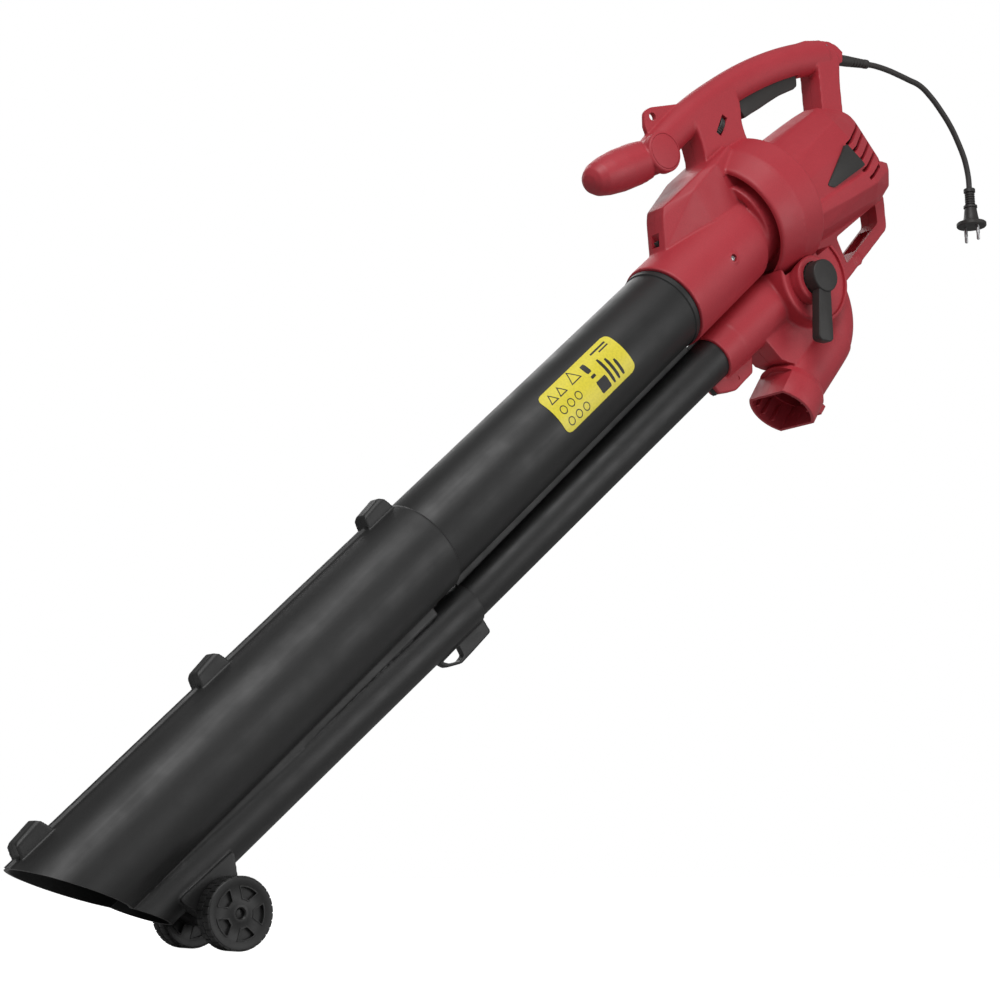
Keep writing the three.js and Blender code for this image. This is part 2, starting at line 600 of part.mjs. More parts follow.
function shutter() {
  const halfWidth = 38.5;
  const sector = [150, 170, 190, 210, 228].map((angle) => [LEVER_PIVOT[0] + 50 * Math.cos(angle * DEG),
    LEVER_PIVOT[1] + 50 * Math.sin(angle * DEG)]);
  const wedge = plate([LEVER_PIVOT, ...sector], -halfWidth, halfWidth);
  const shell = cut(pin(LEVER_PIVOT, SHUTTER_RADIUS, -halfWidth, halfWidth, 36),
    pin(LEVER_PIVOT, SHUTTER_RADIUS - 2.5, 3 - halfWidth, halfWidth - 3, 36));
  const hubs = [-halfWidth, halfWidth - 3].map((y) => pin(LEVER_PIVOT, 7, y, y + 3, 16));
  return cut(join(shell.intersect(wedge), ...hubs), pin(LEVER_PIVOT, SELECTOR_SHAFT_RADIUS + FIT_GAP,
      -60, 60, 16));
}

function selectorLever() {
  const [x, z] = LEVER_PIVOT;
  const knob = pin(LEVER_PIVOT, 18.7, -71, -52, 36);
  const arm = plate([[x, z - 9], [x + 72, z - 11], [x + 75, z], [x + 72, z + 11], [x, z + 9]], -70, -58);
  const geometry = geometryOf(arm);
  geometry.translate(-x, 0, -z);
  geometry.rotateY(-LEVER_ARM_ANGLE);
  geometry.translate(x, 0, z);
  return join(knob, solid(geometry));
}

// ---- auxiliary handle -----------------------------------------------------------------------------
function auxHandle() {
  const profile = [[10, 0], [10, 22], [25, 23.5], [50, 23.5], [70, 21.5], [84, 18.5], [92, 14],
      [96.5, 8], [97.5, 0]];
  const geometry = geometryOf(turned(profile, 24));
  geometry.scale(1, 1.12, 1);
  geometry.rotateY(-(Math.PI - AUX_RISE));
  geometry.translate(AUX_PIVOT[0], 0, AUX_PIVOT[1]);
  const hub = pin(AUX_PIVOT, 23, -28, 28, 36);
  const fork = join(pin(AUX_PIVOT, 24, -18.2, 18.2, 36), box(AUX_PIVOT[0], 640, -18.2, 18.2, 90, 175));
  const recess = join(pin(AUX_PIVOT, 19.5, -40, -26, 36), pin(AUX_PIVOT, 19.5, 26, 40, 36));
  const whole = join(solid(geometry), hub).subtract(box(AUX_PIVOT[0] + 24, 700, -60, 60, 80, 220));
  return cut(whole, fork, recess, pin(AUX_PIVOT, 4.4, -60, 60, 20));
}

// ---- trigger, switch and speed control --------------------------------------------------------------

function trigger() {
  const blade = plate([[666, 96], [694, 92.5], [730, 87], [762, 80], [768, 81], [775, 92], [774, 100],
      [768, 103],
    [752, 104], [719, 111], [700, 114.5], [670, 117.5]], -8, 8);
  return cut(blade, pin(TRIGGER_PIVOT, 2.6, -20, 20, 16));
}

function speedDial() {
  const wheelBody = new THREE.CylinderGeometry(DIAL_RADIUS, DIAL_RADIUS, 6.4, 30);
  const wheelSolid = solid(wheelBody).subtract(solid(new THREE.CylinderGeometry(3.3, 3.3, 20, 16)));
  const geometry = geometryOf(wheelSolid);
  geometry.rotateX(Math.PI / 2);
  return solid(geometry);
}

function controls() {
  const group = new THREE.Group();
  group.add(mesh('trigger', trigger(), DARK));
  group.add(mesh('trigger_pin', pin(TRIGGER_PIVOT, 2, -11.5, 11.5, 16), STEEL));
  group.add(mesh('trigger_switch', box(684, 716, -8.5, 8.5, 124, 138), BLACK));
  group.add(mesh('interference_capacitor', box(738, 766, -7, 7, 112, 122), YELLOW));
  group.add(mesh('speed_board', box(598, 636, 10, 11.6, 99, 124), GREEN));
  const dial = mesh('speed_dial', speedDial(), DARK);
  const spindle = mesh('speed_spindle', solid(new THREE.CylinderGeometry(3, 3, 12, 16)), STEEL);
  const holder = new THREE.Group();
  holder.position.set(...DIAL_CENTRE);
  holder.rotation.y = -DIAL_TILT;
  spindle.rotation.x = Math.PI / 2;
  holder.add(dial, spindle);
  group.add(holder);
  return group;
}

// ---- motor and impeller, drawn along the shaft -------------------------------------------------------
const BORE = SHAFT_RADIUS + FIT_GAP;

function blades(count, start, end, inner, outer, thickness) {
  return Array.from({ length: count }, (_, index) => {
    const geometry = new THREE.BoxGeometry(end - start, thickness, outer - inner);
    geometry.translate((start + end) / 2, 0, (inner + outer) / 2);
    geometry.rotateX((index * 2 * Math.PI) / count);
    return solid(geometry);
  });
}

function impeller() {
  const hub = ring(27, 57.5, 13, BORE, 28);
  const disc = ring(54.5, 57.5, 66, 10, 40);
  return join(hub, disc, ...blades(8, 30, 55.5, 12, 64, 3));
}

function coolingFan() {
  return join(ring(80, 90, 9, BORE, 24), ring(88, 90, 43, 8, 40), ...blades(10, 80, 89, 8.5, 42, 1.6));
}

function endBracket() {
  const openings = [45, 135, 225, 315].map((angle) => {
    const geometry = new THREE.CylinderGeometry(11, 11, 40, 14);
    geometry.rotateZ(Math.PI / 2);
    geometry.translate(200, 0, 27);
    geometry.rotateX(angle * DEG);
    return solid(geometry);
  });
  return cut(ring(196, 203.5, 45, 9.8, 40), ...openings);
}

function motor() {
  const group = new THREE.Group();
  const pieces = [
    ['impeller', impeller(), BLACK],
    ['impeller_nut', cut(bar(19, 8, 26.6, 8, 6), bar(5, BORE, 30, BORE, 16)), STEEL],
    ['motor_shaft', bar(16, SHAFT_RADIUS, 208, SHAFT_RADIUS, 24), STEEL],
    ['front_bearing', ring(66.4, 73.6, 11, BORE, 28), STEEL],
    ['cooling_fan', coolingFan(), BLACK],
    ['stator_core', ring(105, 160, 46, 29, 40), STEEL],
    ['field_winding_front', ring(98, 104.7, 41, 30, 32), COPPER],
    ['field_winding_rear', ring(160.3, 167, 41, 30, 32), COPPER],
    ['rotor', ring(103, 162, 28, BORE, 32), STEEL],
    ['commutator', ring(174, 190, 12, BORE, 24), COPPER],
    ['rear_bearing', ring(196.4, 203.1, 9.5, BORE, 28), STEEL],
    ['rear_bearing_bracket', endBracket(), BLACK],
  ];
  for (const [side, sign] of [['left', -1], ['right', 1]]) {
    const [inner, outer] = [sign * 12.4, sign * 30];
    const brush = box(178, 186, Math.min(inner, outer), Math.max(inner, outer), -4, 4);
    pieces.push([`carbon_brush_${side}`, brush, DARK]);
    const [near, far] = [sign * 16, sign * 33];
    const holder = cut(box(175, 189, Math.min(near, far), Math.max(near, far), -7, 7),
      box(177.7, 186.3, -30.3, 30.3, -4.3, 4.3));
    pieces.push([`brush_holder_${side}`, holder, BRASS]);
  }
  for (const [name, shape, look] of pieces) group.add(mesh(name, shape, look));
  group.position.set(HEAD_ORIGIN[0], 0, HEAD_ORIGIN[1]);
  group.rotation.y = HEAD_TILT;
  return group;
}

// ---- cord and plug ----------------------------------------------------------------------------------
function cord() {
  const curve = new THREE.CatmullRomCurve3(CORD_ROUTE.map(([x, z]) => new THREE.Vector3(x, 0, z)));
  return sweptAlong(curve, CORD_RADIUS, CORD_RADIUS, 30, 12);
}

// A flat two-pin plug hanging from the end of the cord.
function plug() {
  const end = CORD_ROUTE.at(-1);
  const before = CORD_ROUTE.at(-2);
  const length = Math.hypot(end[0] - before[0], end[1] - before[1]);
  const along = [(end[0] - before[0]) / length, (end[1] - before[1]) / length];
  const at = (distance) => [end[0] + along[0] * distance, end[1] + along[1] * distance];
  const neck = cone(at(0.3), 5.5, at(24), 6.2, 20);
  const body = cone(at(24), 8, at(44), 10.5, 24);
  const disc = cone(at(44), 18.5, at(50), 18.5, 32);
  const pins = [-9.5, 9.5].map((y) => {
    const geometry = geometryOf(cone(at(49), 2.4, at(69), 2.4, 12));
    geometry.translate(0, y, 0);
    return solid(geometry);
  });
  return join(neck, cone(at(23.8), 8, at(24.2), 8, 24), body, disc, ...pins);
}

function badge() {
  return plate([[667, -13], [731, 7], [741, -28], [676, -21]], -61.2, -50).subtract(motorCover());
}

function buildMachine() {
  const tool = new THREE.Group();
  const nozzle = nozzleBody();
  tool.add(mesh('nozzle_left', half(nozzle, -1), BLACK), mesh('nozzle_right', half(nozzle, 1), BLACK));
  tool.add(...nozzleScrews(), wheels());
  tool.add(mesh('suction_tube', suctionTube(), BLACK), mesh('blow_tube', blowTube(), BLACK));
  tool.add(mesh('tube_label', tubeLabel(), YELLOW));
  const shell = housing();
  tool.add(mesh('housing_left', half(shell, -1), RED), mesh('housing_right', half(shell, 1), RED));
  tool.add(...housingScrews());
  const flap = flapBody();
  tool.add(mesh('flap_housing_left', half(flap, -1), RED), mesh('flap_housing_right', half(flap, 1), RED));
  tool.add(mesh('flap_shutter', shutter(), BLACK));
  tool.add(mesh('selector_lever', selectorLever(), BLACK));
  tool.add(mesh('selector_shaft', pin(LEVER_PIVOT, SELECTOR_SHAFT_RADIUS, -51.7, 44, 16), STEEL));
  tool.add(mesh('tube_latch', tubeLatch(), BLACK), mesh('blow_tube_latch', blowTubeLatch(), BLACK));
  tool.add(mesh('aux_handle', auxHandle(), RED));
  tool.add(mesh('aux_pivot_bolt', pin(AUX_PIVOT, 4, -25.5, 25.5, 20), STEEL));
  tool.add(mesh('aux_cap_left', pin(AUX_PIVOT, 19.2, -28.6, -26.3, 36), RED));
  tool.add(mesh('aux_cap_right', pin(AUX_PIVOT, 19.2, 26.3, 28.6, 36), RED));
  tool.add(controls(), motor());
  tool.add(mesh('strain_relief', cone(reliefPoint(RELIEF_LENGTH), 7, reliefPoint(FIT_GAP), 5.2, 20),
      DARK));
  tool.add(mesh('power_cord', cord(), DARK), mesh('power_plug', plug(), DARK));
  tool.add(mesh('side_badge', badge(), DARK));
  tool.rotation.y = -TOOL_TILT;
  const grip = new THREE.Vector3(...GRIP_POINT).applyEuler(tool.rotation);
  tool.position.copy(grip).negate();
  const machine = new THREE.Group();
  machine.add(tool);
  return machine;
}

export default buildMachine();
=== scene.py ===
import json
import math

import bmesh
import bpy
import numpy as np
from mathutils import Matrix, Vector

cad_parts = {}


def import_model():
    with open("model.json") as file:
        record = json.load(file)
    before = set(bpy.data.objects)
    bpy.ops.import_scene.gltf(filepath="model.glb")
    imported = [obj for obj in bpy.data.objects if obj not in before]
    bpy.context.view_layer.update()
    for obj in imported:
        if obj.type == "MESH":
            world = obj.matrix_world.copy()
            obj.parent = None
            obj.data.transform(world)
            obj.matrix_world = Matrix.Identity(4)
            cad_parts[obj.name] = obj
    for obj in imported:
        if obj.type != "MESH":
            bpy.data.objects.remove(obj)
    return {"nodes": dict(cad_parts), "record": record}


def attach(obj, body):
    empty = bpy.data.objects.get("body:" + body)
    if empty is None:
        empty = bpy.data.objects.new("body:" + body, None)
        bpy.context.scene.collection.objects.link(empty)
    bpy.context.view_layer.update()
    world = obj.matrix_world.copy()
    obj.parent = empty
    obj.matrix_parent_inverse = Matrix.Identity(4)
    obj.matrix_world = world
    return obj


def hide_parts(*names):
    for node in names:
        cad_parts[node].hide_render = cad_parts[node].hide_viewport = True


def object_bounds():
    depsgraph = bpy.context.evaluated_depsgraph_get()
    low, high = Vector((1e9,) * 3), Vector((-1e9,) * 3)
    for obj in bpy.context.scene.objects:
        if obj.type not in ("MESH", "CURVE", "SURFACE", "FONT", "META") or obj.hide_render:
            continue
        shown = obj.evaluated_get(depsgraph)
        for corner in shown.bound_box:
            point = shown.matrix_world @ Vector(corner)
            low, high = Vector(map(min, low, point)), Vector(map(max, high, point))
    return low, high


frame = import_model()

CAD_BOX = [list(corner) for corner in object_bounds()]

# ---- frames -------------------------------------------------------------------------------------
# Pieces are drawn in millimetres in the tool frame: x along the tubes towards the head, y to the
# machine's right, z towards the handle. The head frame has its first axis on the motor shaft.
TILT = math.radians(42.7)
GRIP = (730.0, 0.0, 123.0)
HEAD_TILT = math.radians(6.4)
HEAD_ORIGIN = (559.0, 12.0)
DRUM_R = 82.5
TUBE_R = 47.0
SLEEVE_R = 51.0
SLEEVE_START = 411.0
SEAM = 0.15


def world(points):
    """Tool-frame millimetres as metres in the part's frame."""
    p = np.asarray(points, float).reshape(-1, 3) - GRIP
    c, s = math.cos(TILT), math.sin(TILT)
    return np.stack([p[:, 0] * c - p[:, 2] * s, p[:, 1], p[:, 0] * s + p[:, 2] * c], 1) / 1000


def in_head(shell):
    """Moves a shell from the head frame to the tool frame."""
    p, faces = shell
    c, s = math.cos(HEAD_TILT), math.sin(HEAD_TILT)
    out = np.stack([HEAD_ORIGIN[0] + p[:, 0] * c + p[:, 2] * s, p[:, 1],
                    HEAD_ORIGIN[1] - p[:, 0] * s + p[:, 2] * c], 1)
    return out, faces


def moved(shell, x=0.0, y=0.0, z=0.0, turn_y=0.0, scale=(1, 1, 1)):
    """Scales a shell, turns it about y (from x towards z, degrees) and then moves it."""
    p, faces = shell
    p = p * np.array(scale, float)
    c, s = math.cos(math.radians(turn_y)), math.sin(math.radians(turn_y))
    return np.stack([p[:, 0] * c - p[:, 2] * s + x, p[:, 1] + y, p[:, 0] * s + p[:, 2] * c + z], 1), faces


# ---- shells: (points, faces) ----------------------------------------------------------------------
def loft(sections, closed=False):
    """A skin over rings of points, capped at both ends unless closed on itself."""
    count = len(sections[0])
    points = np.concatenate([np.asarray(s, float) for s in sections])
    faces = []
    rows = len(sections)
    for row in range(rows if closed else rows - 1):
        a, b = row * count, ((row + 1) % rows) * count
        faces += [(a + k, a + (k + 1) % count, b + (k + 1) % count, b + k) for k in range(count)]
    if not closed:
        faces += [tuple(range(count))[::-1], tuple(range((rows - 1) * count, rows * count))]
    return points, faces


def lathe(profile, segments=96, closed=False):
    """A body turned about x: profile points are (station, radius)."""
    turns = np.arange(segments) * 2 * math.pi / segments
    ring = lambda x, r: np.stack([np.full(segments, x), r * np.cos(turns), r * np.sin(turns)], 1)
    return loft([ring(x, max(r, 0.02)) for x, r in profile], closed)


def bar(x0, r0, x1, r1=None, segments=96):
    return lathe([(x0, r0), (x1, r0 if r1 is None else r1)], segments)


def tube(x0, x1, outer, inner, segments=96):
    return lathe([(x0, inner), (x0, outer), (x1, outer), (x1, inner)], segments, True)


def cone(a, ra, b, rb, segments=96):
    """A cone between two points of the x-z plane."""
    length = math.hypot(b[0] - a[0], b[1] - a[1])
    return moved(bar(0, ra, length, rb, segments), a[0], 0, a[1],
                 math.degrees(math.atan2(b[1] - a[1], b[0] - a[0])))


def circle(radius, count=48, centre=(0, 0), start=0.0, sweep=360.0):
    ends = sweep == 360.0
    turns = np.radians(start + np.linspace(0, sweep, count, endpoint=not ends))
    return [(centre[0] + radius * math.cos(t), centre[1] + radius * math.sin(t)) for t in turns]


def plate(outline, y0, y1):
    """An outline in the x-z plane, given thickness along y."""
    return loft([[(x, y, z) for x, z in outline] for y in (y0, y1)])


def pin(at, radius, y0, y1, count=48):
    return plate(circle(radius, count, at), y0, y1)


def disc(at, radius, y0, y1, soft, count=64):
    """A round disc across y with its outer edges rounded."""
    rows = [(y0, radius - soft)] + [(y0 + soft - soft * math.cos(a), radius - soft + soft * math.sin(a))
                                    for a in (0.5, 1.0, 1.57)]
    rows += [(y1 - (y - y0), r) for y, r in rows[::-1]]
    return loft([[(x, y, z) for x, z in circle(r, count, at)] for y, r in rows])


def box(x0, x1, y0, y1, z0, z1):
    return plate([(x0, z0), (x1, z0), (x1, z1), (x0, z1)], y0, y1)


def rounded(outline, radius, steps=5):
    """The outline with its corners rounded."""
    p = [Vector(q) for q in outline]
    out = []
    for k, corner in enumerate(p):
        a, b = p[k - 1] - corner, p[(k + 1) % len(p)] - corner
        reach = min(radius, 0.45 * a.length, 0.45 * b.length)
        a, b = corner + a.normalized() * reach, corner + b.normalized() * reach
        for step in range(steps + 1):
            t = step / steps
            out.append(tuple(a * (1 - t) ** 2 + corner * 2 * t * (1 - t) + b * t ** 2))
    return out


def spline(points, count):
    """A smooth line through points of any size, evenly sampled."""
    p = np.asarray(points, float)
    p = np.concatenate([[2 * p[0] - p[1]], p, [2 * p[-1] - p[-2]]])
    out = []
    for t in np.linspace(0, len(points) - 1, count):
        k = min(int(t), len(points) - 2)
        u = t - k
        a, b, c, d = p[k:k + 4]
        out.append(0.5 * (2 * b + (c - a) * u + (2 * a - 5 * b + 4 * c - d) * u ** 2
                          + (3 * b - a - 3 * c + d) * u ** 3))
    return np.array(out)


def swept(line, half_width, half_height, count=48, segments=40, power=2.0):
    """A rounded section swept along a line of the x-z plane. Sizes may be lists along the line."""
    path = spline(line, count)
    widths = np.interp(np.linspace(0, 1, count), np.linspace(0, 1, len(np.atleast_1d(half_width))),
                       np.atleast_1d(half_width))
    heights = np.interp(np.linspace(0, 1, count), np.linspace(0, 1, len(np.atleast_1d(half_height))),
                        np.atleast_1d(half_height))
    along = np.gradient(path, axis=0)
    along /= np.linalg.norm(along, axis=1)[:, None]
    turns = np.arange(segments) * 2 * math.pi / segments
    c, s = np.cos(turns), np.sin(turns)
    shape = lambda v: np.sign(v) * np.abs(v) ** (2 / power)
    rings = []
    for p, d, w, h in zip(path, along, widths, heights):
        up = np.array([-d[1], d[0]])
        rise = shape(s) * h
        rings.append(np.stack([p[0] + up[0] * rise, shape(c) * w, p[1] + up[1] * rise], 1))
    return loft(rings)


def hull(points, mirror=True):
    """The convex solid round some points, mirrored to both sides."""
    points = list(points) + ([(x, -y, z) for x, y, z in points] if mirror else [])
    bm = bmesh.new()
    for p in points:
        bm.verts.new(p)
    found = bmesh.ops.convex_hull(bm, input=bm.verts)
    loose = [v for v in found["geom_interior"] + found["geom_unused"] if isinstance(v, bmesh.types.BMVert)]
    bmesh.ops.delete(bm, geom=list(dict.fromkeys(loose)), context="VERTS")
    bm.verts.index_update()
    shell = np.array([v.co[:] for v in bm.verts]), [tuple(v.index for v in f.verts) for f in bm.faces]
    bm.free()
    return shell


# ---- objects --------------------------------------------------------------------------------------
def build(name, *shells, raw=False):
    """One object of several shells, in metres in the part's frame."""
    bm = bmesh.new()
    for points, faces in shells:
        verts = [bm.verts.new(p) for p in (points if raw else world(points))]
        part = [bm.faces.new([verts[i] for i in f]) for f in faces]
        bmesh.ops.recalc_face_normals(bm, faces=part)
    mesh = bpy.data.meshes.new(name)
    bm.to_mesh(mesh)
    bm.free()
    obj = bpy.data.objects.new(name, mesh)
    bpy.context.scene.collection.objects.link(obj)
    return obj


def applied(obj):
    """Applies an object's modifiers to its mesh."""
    mesh = bpy.data.meshes.new_from_object(obj.evaluated_get(bpy.context.evaluated_depsgraph_get()))
    old = obj.data
    obj.modifiers.clear()
    obj.data = mesh
    bpy.data.meshes.remove(old)
    return obj


def fused(name, shells, voxel=1.5, rounds=4):
    """Shells grown together into one skin with soft inner and outer corners."""
    obj = build(name, *shells)
    remesh = obj.modifiers.new("fuse", "REMESH")
    remesh.mode = "VOXEL"
    remesh.voxel_size = voxel / 1000 * 1
    ease = obj.modifiers.new("ease", "SMOOTH")
    ease.factor = 0.5
    ease.iterations = max(1, rounds // (1))
    return applied(obj)


def carved(obj, cutters, operation="DIFFERENCE"):
    """Takes each cutter shell out of an object."""
    for k, cutter in enumerate(cutters):
        tool = build(f"cutter_{k}", cutter)
        step = obj.modifiers.new("carve", "BOOLEAN")
        step.operation = operation
        step.solver = "MANIFOLD"
        step.object = tool
        applied(obj)
        bpy.data.objects.remove(tool)
    return obj


def less(obj, shell, keep):
    """Takes a shell out of an object, all but the parts of it inside the shells to keep."""
    tool = carved(build("tool", shell), keep)
    step = obj.modifiers.new("carve", "BOOLEAN")
    step.solver = "MANIFOLD"
    step.object = tool
    applied(obj)
    bpy.data.objects.remove(tool)
    return obj


def halves(obj, *names):
    """Splits an object at the parting plane into the machine's left and right halves."""
    out = []
    for name, (y0, y1) in zip(names, ((-400, -SEAM), (SEAM, 400))):
        part = obj.copy()
        part.data = obj.data.copy()
        part.name = name
        bpy.context.scene.collection.objects.link(part)
        out.append(carved(part, [box(-900, 1300, y0, y1, -400, 400)], "INTERSECT"))
    bpy.data.objects.remove(obj)
    return out


def bevelled(obj, width=1.0, segments=3, angle=35):
    bevel = obj.modifiers.new("bevel", "BEVEL")
    bevel.width = width / 1000
    bevel.segments = segments
    bevel.limit_method = "ANGLE"
    bevel.angle_limit = math.radians(angle)
    return applied(obj)


def dressed(obj, material, body, slot, *nodes, sharp=38):
    """Gives a piece its material and body, and hides the CAD nodes that it stands for; the slot is not used.
    """
    obj.data.materials.clear()
    obj.data.materials.append(material)
    if obj.type == "MESH":
        obj.data.shade_smooth()
        obj.data.set_sharp_from_angle(angle=math.radians(sharp))
    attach(obj, body)
    if nodes:
        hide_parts(*nodes)
    return obj


# ---- materials --------------------------------------------------------------------------------------
def surface(name, colour, shade, roughness, grain=1400.0, depth=0.00006, metal=0.0, streaks=0.0,
            wear=0.0, worn=None, coat=0.0, blotch=9.0):
    """A finish whose colour drifts to its shade, with grain, streaks along the tubes and worn edges."""
    mat = bpy.data.materials.new(name)
    mat.use_nodes = True
    nodes, links = mat.node_tree.nodes, mat.node_tree.links
    bsdf = nodes["Principled BSDF"]
    bsdf.inputs["Metallic"].default_value = metal
    bsdf.inputs["Coat Weight"].default_value = coat
    bsdf.inputs["Coat Roughness"].default_value = 0.35
    place = nodes.new("ShaderNodeTexCoord")
    turn = nodes.new("ShaderNodeMapping")
    turn.inputs["Rotation"].default_value = (0, TILT, 0)
    links.new(place.outputs["Object"], turn.inputs["Vector"])

    def noise(scale, detail=3.0, stretch=(1, 1, 1)):
        node = nodes.new("ShaderNodeTexNoise")
        node.inputs["Scale"].default_value = scale
        node.inputs["Detail"].default_value = detail
        pull = nodes.new("ShaderNodeMapping")
        pull.inputs["Scale"].default_value = stretch
        links.new(turn.outputs["Vector"], pull.inputs["Vector"])
        links.new(pull.outputs["Vector"], node.inputs["Vector"])
        return node.outputs["Fac"]

    def ramp(source, stops):
        node = nodes.new("ShaderNodeValToRGB")
        while len(node.color_ramp.elements) < len(stops):
            node.color_ramp.elements.new(0.5)
        for element, (at, value) in zip(node.color_ramp.elements, stops):
            element.position = at
            element.color = (*value, 1) if isinstance(value, tuple) else (value, value, value, 1)
        links.new(source, node.inputs["Fac"])
        return node.outputs["Color"]

    def mixed(factor, a, b, mode="MIX"):
        node = nodes.new("ShaderNodeMix")
        node.data_type = "RGBA"
        node.blend_type = mode
        for socket, value in ((node.inputs["Factor"], factor), (node.inputs[6], a), (node.inputs[7], b)):
            if isinstance(value, (float, tuple)):
                socket.default_value = value
            else:
                links.new(value, socket)
        return node.outputs[2]

    tint = ramp(noise(blotch, 4.0), [(0.32, shade), (0.68, colour)])
    speck = ramp(noise(grain * 0.6, 2.0), [(0.3, (0.86, 0.86, 0.86)), (0.62, (1.06, 1.06, 1.06))])
    tint = mixed(0.55, tint, speck, "MULTIPLY")
    rough = ramp(noise(38.0, 5.0), [(0.3, roughness - 0.07), (0.7, roughness + 0.07)])
    height = noise(grain, 2.0)
    if streaks:
        lines = noise(260.0, 3.0, (0.02, 1, 1))
        rough = mixed(streaks, rough, ramp(lines, [(0.35, roughness - 0.15), (0.7, roughness + 0.15)]))
        tint = mixed(streaks * 0.35, tint, ramp(lines, [(0.4, shade), (0.72, worn or colour)]))
    if wear:
        edge = nodes.new("ShaderNodeNewGeometry")
        rubbed = ramp(edge.outputs["Pointiness"], [(0.52, 0.0), (0.6, 1.0)])
        patchy = mixed(1.0, rubbed, ramp(noise(55.0, 4.0), [(0.42, 0.0), (0.62, wear)]), "MULTIPLY")
        tint = mixed(patchy, tint, (*(worn or colour), 1))
    links.new(tint, bsdf.inputs["Base Color"])
    links.new(rough, bsdf.inputs["Roughness"])
    bump = nodes.new("ShaderNodeBump")
    bump.inputs["Strength"].default_value = 0.6
    bump.inputs["Distance"].default_value = depth
    links.new(height, bump.inputs["Height"])
    wave = nodes.new("ShaderNodeBump")
    wave.inputs["Strength"].default_value = 0.25
    wave.inputs["Distance"].default_value = 0.0006
    links.new(noise(28.0, 1.0), wave.inputs["Height"])
    links.new(wave.outputs["Normal"], bump.inputs["Normal"])
    links.new(bump.outputs["Normal"], bsdf.inputs["Normal"])
    return mat


RED = surface("red_moulded", (0.475, 0.036, 0.052), (0.44, 0.030, 0.044), 0.5, wear=0.2,
              worn=(0.58, 0.10, 0.12))
BLACK = surface("black_moulded", (0.016, 0.016, 0.016), (0.013, 0.013, 0.013), 0.48, streaks=0.16, wear=0.15,
                worn=(0.034, 0.034, 0.034))
DARK = surface("dark_moulded", (0.029, 0.027, 0.025), (0.024, 0.022, 0.021), 0.52, wear=0.2,
               worn=(0.06, 0.056, 0.053))
RUBBER = surface("cord_rubber", (0.042, 0.038, 0.036), (0.034, 0.031, 0.030), 0.6, grain=900.0)
STEEL = surface("plated_steel", (0.55, 0.55, 0.56), (0.45, 0.45, 0.46), 0.32, metal=1.0, grain=2200.0,
                depth=0.00002)
COPPER = surface("wound_copper", (0.60, 0.30, 0.14), (0.45, 0.21, 0.10), 0.35, metal=1.0, streaks=0.8)
CARBON = surface("pressed_carbon", (0.05, 0.05, 0.05), (0.03, 0.03, 0.03), 0.7, grain=1800.0)
BOARD = surface("circuit_board", (0.03, 0.13, 0.05), (0.02, 0.09, 0.035), 0.45, streaks=0.6,
                worn=(0.2, 0.35, 0.1))
YELLOW = surface("yellow_film", (0.86, 0.74, 0.05), (0.81, 0.69, 0.05), 0.4, grain=700.0, depth=0.00002,
                 coat=0.3)
INK = surface("printed_ink", (0.03, 0.03, 0.03), (0.02, 0.02, 0.02), 0.5, grain=900.0, depth=0.00002)
SLOTS = {"red_plastic": RED, "black_plastic": BLACK, "dark_plastic": DARK, "cord_rubber": RUBBER,
         "steel": STEEL, "copper": COPPER, "carbon": CARBON, "board": BOARD, "yellow": YELLOW}

# ---- camera and cord ----------------------------------------------------------------------------------
camera = bpy.data.objects.new("camera", bpy.data.cameras.new("camera"))
camera.location = (-1.527, -1.5605, -0.905)
camera.rotation_euler = Vector((0.5848, 0.790, 0.1832)).to_track_quat("-Z", "Y").to_euler()
camera.data.lens = 71.15
camera.data.sensor_width = 36.0
camera.data.clip_start = 0.05
bpy.context.scene.collection.objects.link(camera)
bpy.context.scene.camera = camera

CORD_R = 3.5
CORD_ROUTE = [(906, 41), (914, 35.2), (921, 29.5), (936, 15.5), (948, 2.5), (959, -10), (973, -27),
              (980, -46), (984, -70), (985, -95), (982, -117), (977, -137), (973, -146), (968.5, -154),
              (963, -162), (956, -170)]


def cord():
    curve = bpy.data.curves.new("mains_cord", "CURVE")
    curve.dimensions = "3D"
    curve.bevel_depth = CORD_R / 1000
    curve.bevel_resolution = 8
    curve.resolution_u = 12
    curve.use_fill_caps = True
    line = curve.splines.new("BEZIER")
    points = world([(x, 0, z) for x, z in CORD_ROUTE])
    line.bezier_points.add(len(points) - 1)
    for point, at in zip(line.bezier_points, points):
        point.co = at
        point.handle_left_type = point.handle_right_type = "AUTO"
    obj = bpy.data.objects.new("mains_cord", curve)
    bpy.context.scene.collection.objects.link(obj)
    return dressed(obj, RUBBER, "machine", "cord_rubber", "power_cord")


def aimed(shell, start, towards):
    """Places a body drawn along x at a point of the x-z plane, aimed at another."""
    return moved(shell, start[0], 0, start[1],
                 math.degrees(math.atan2(towards[1] - start[1], towards[0] - start[0])))


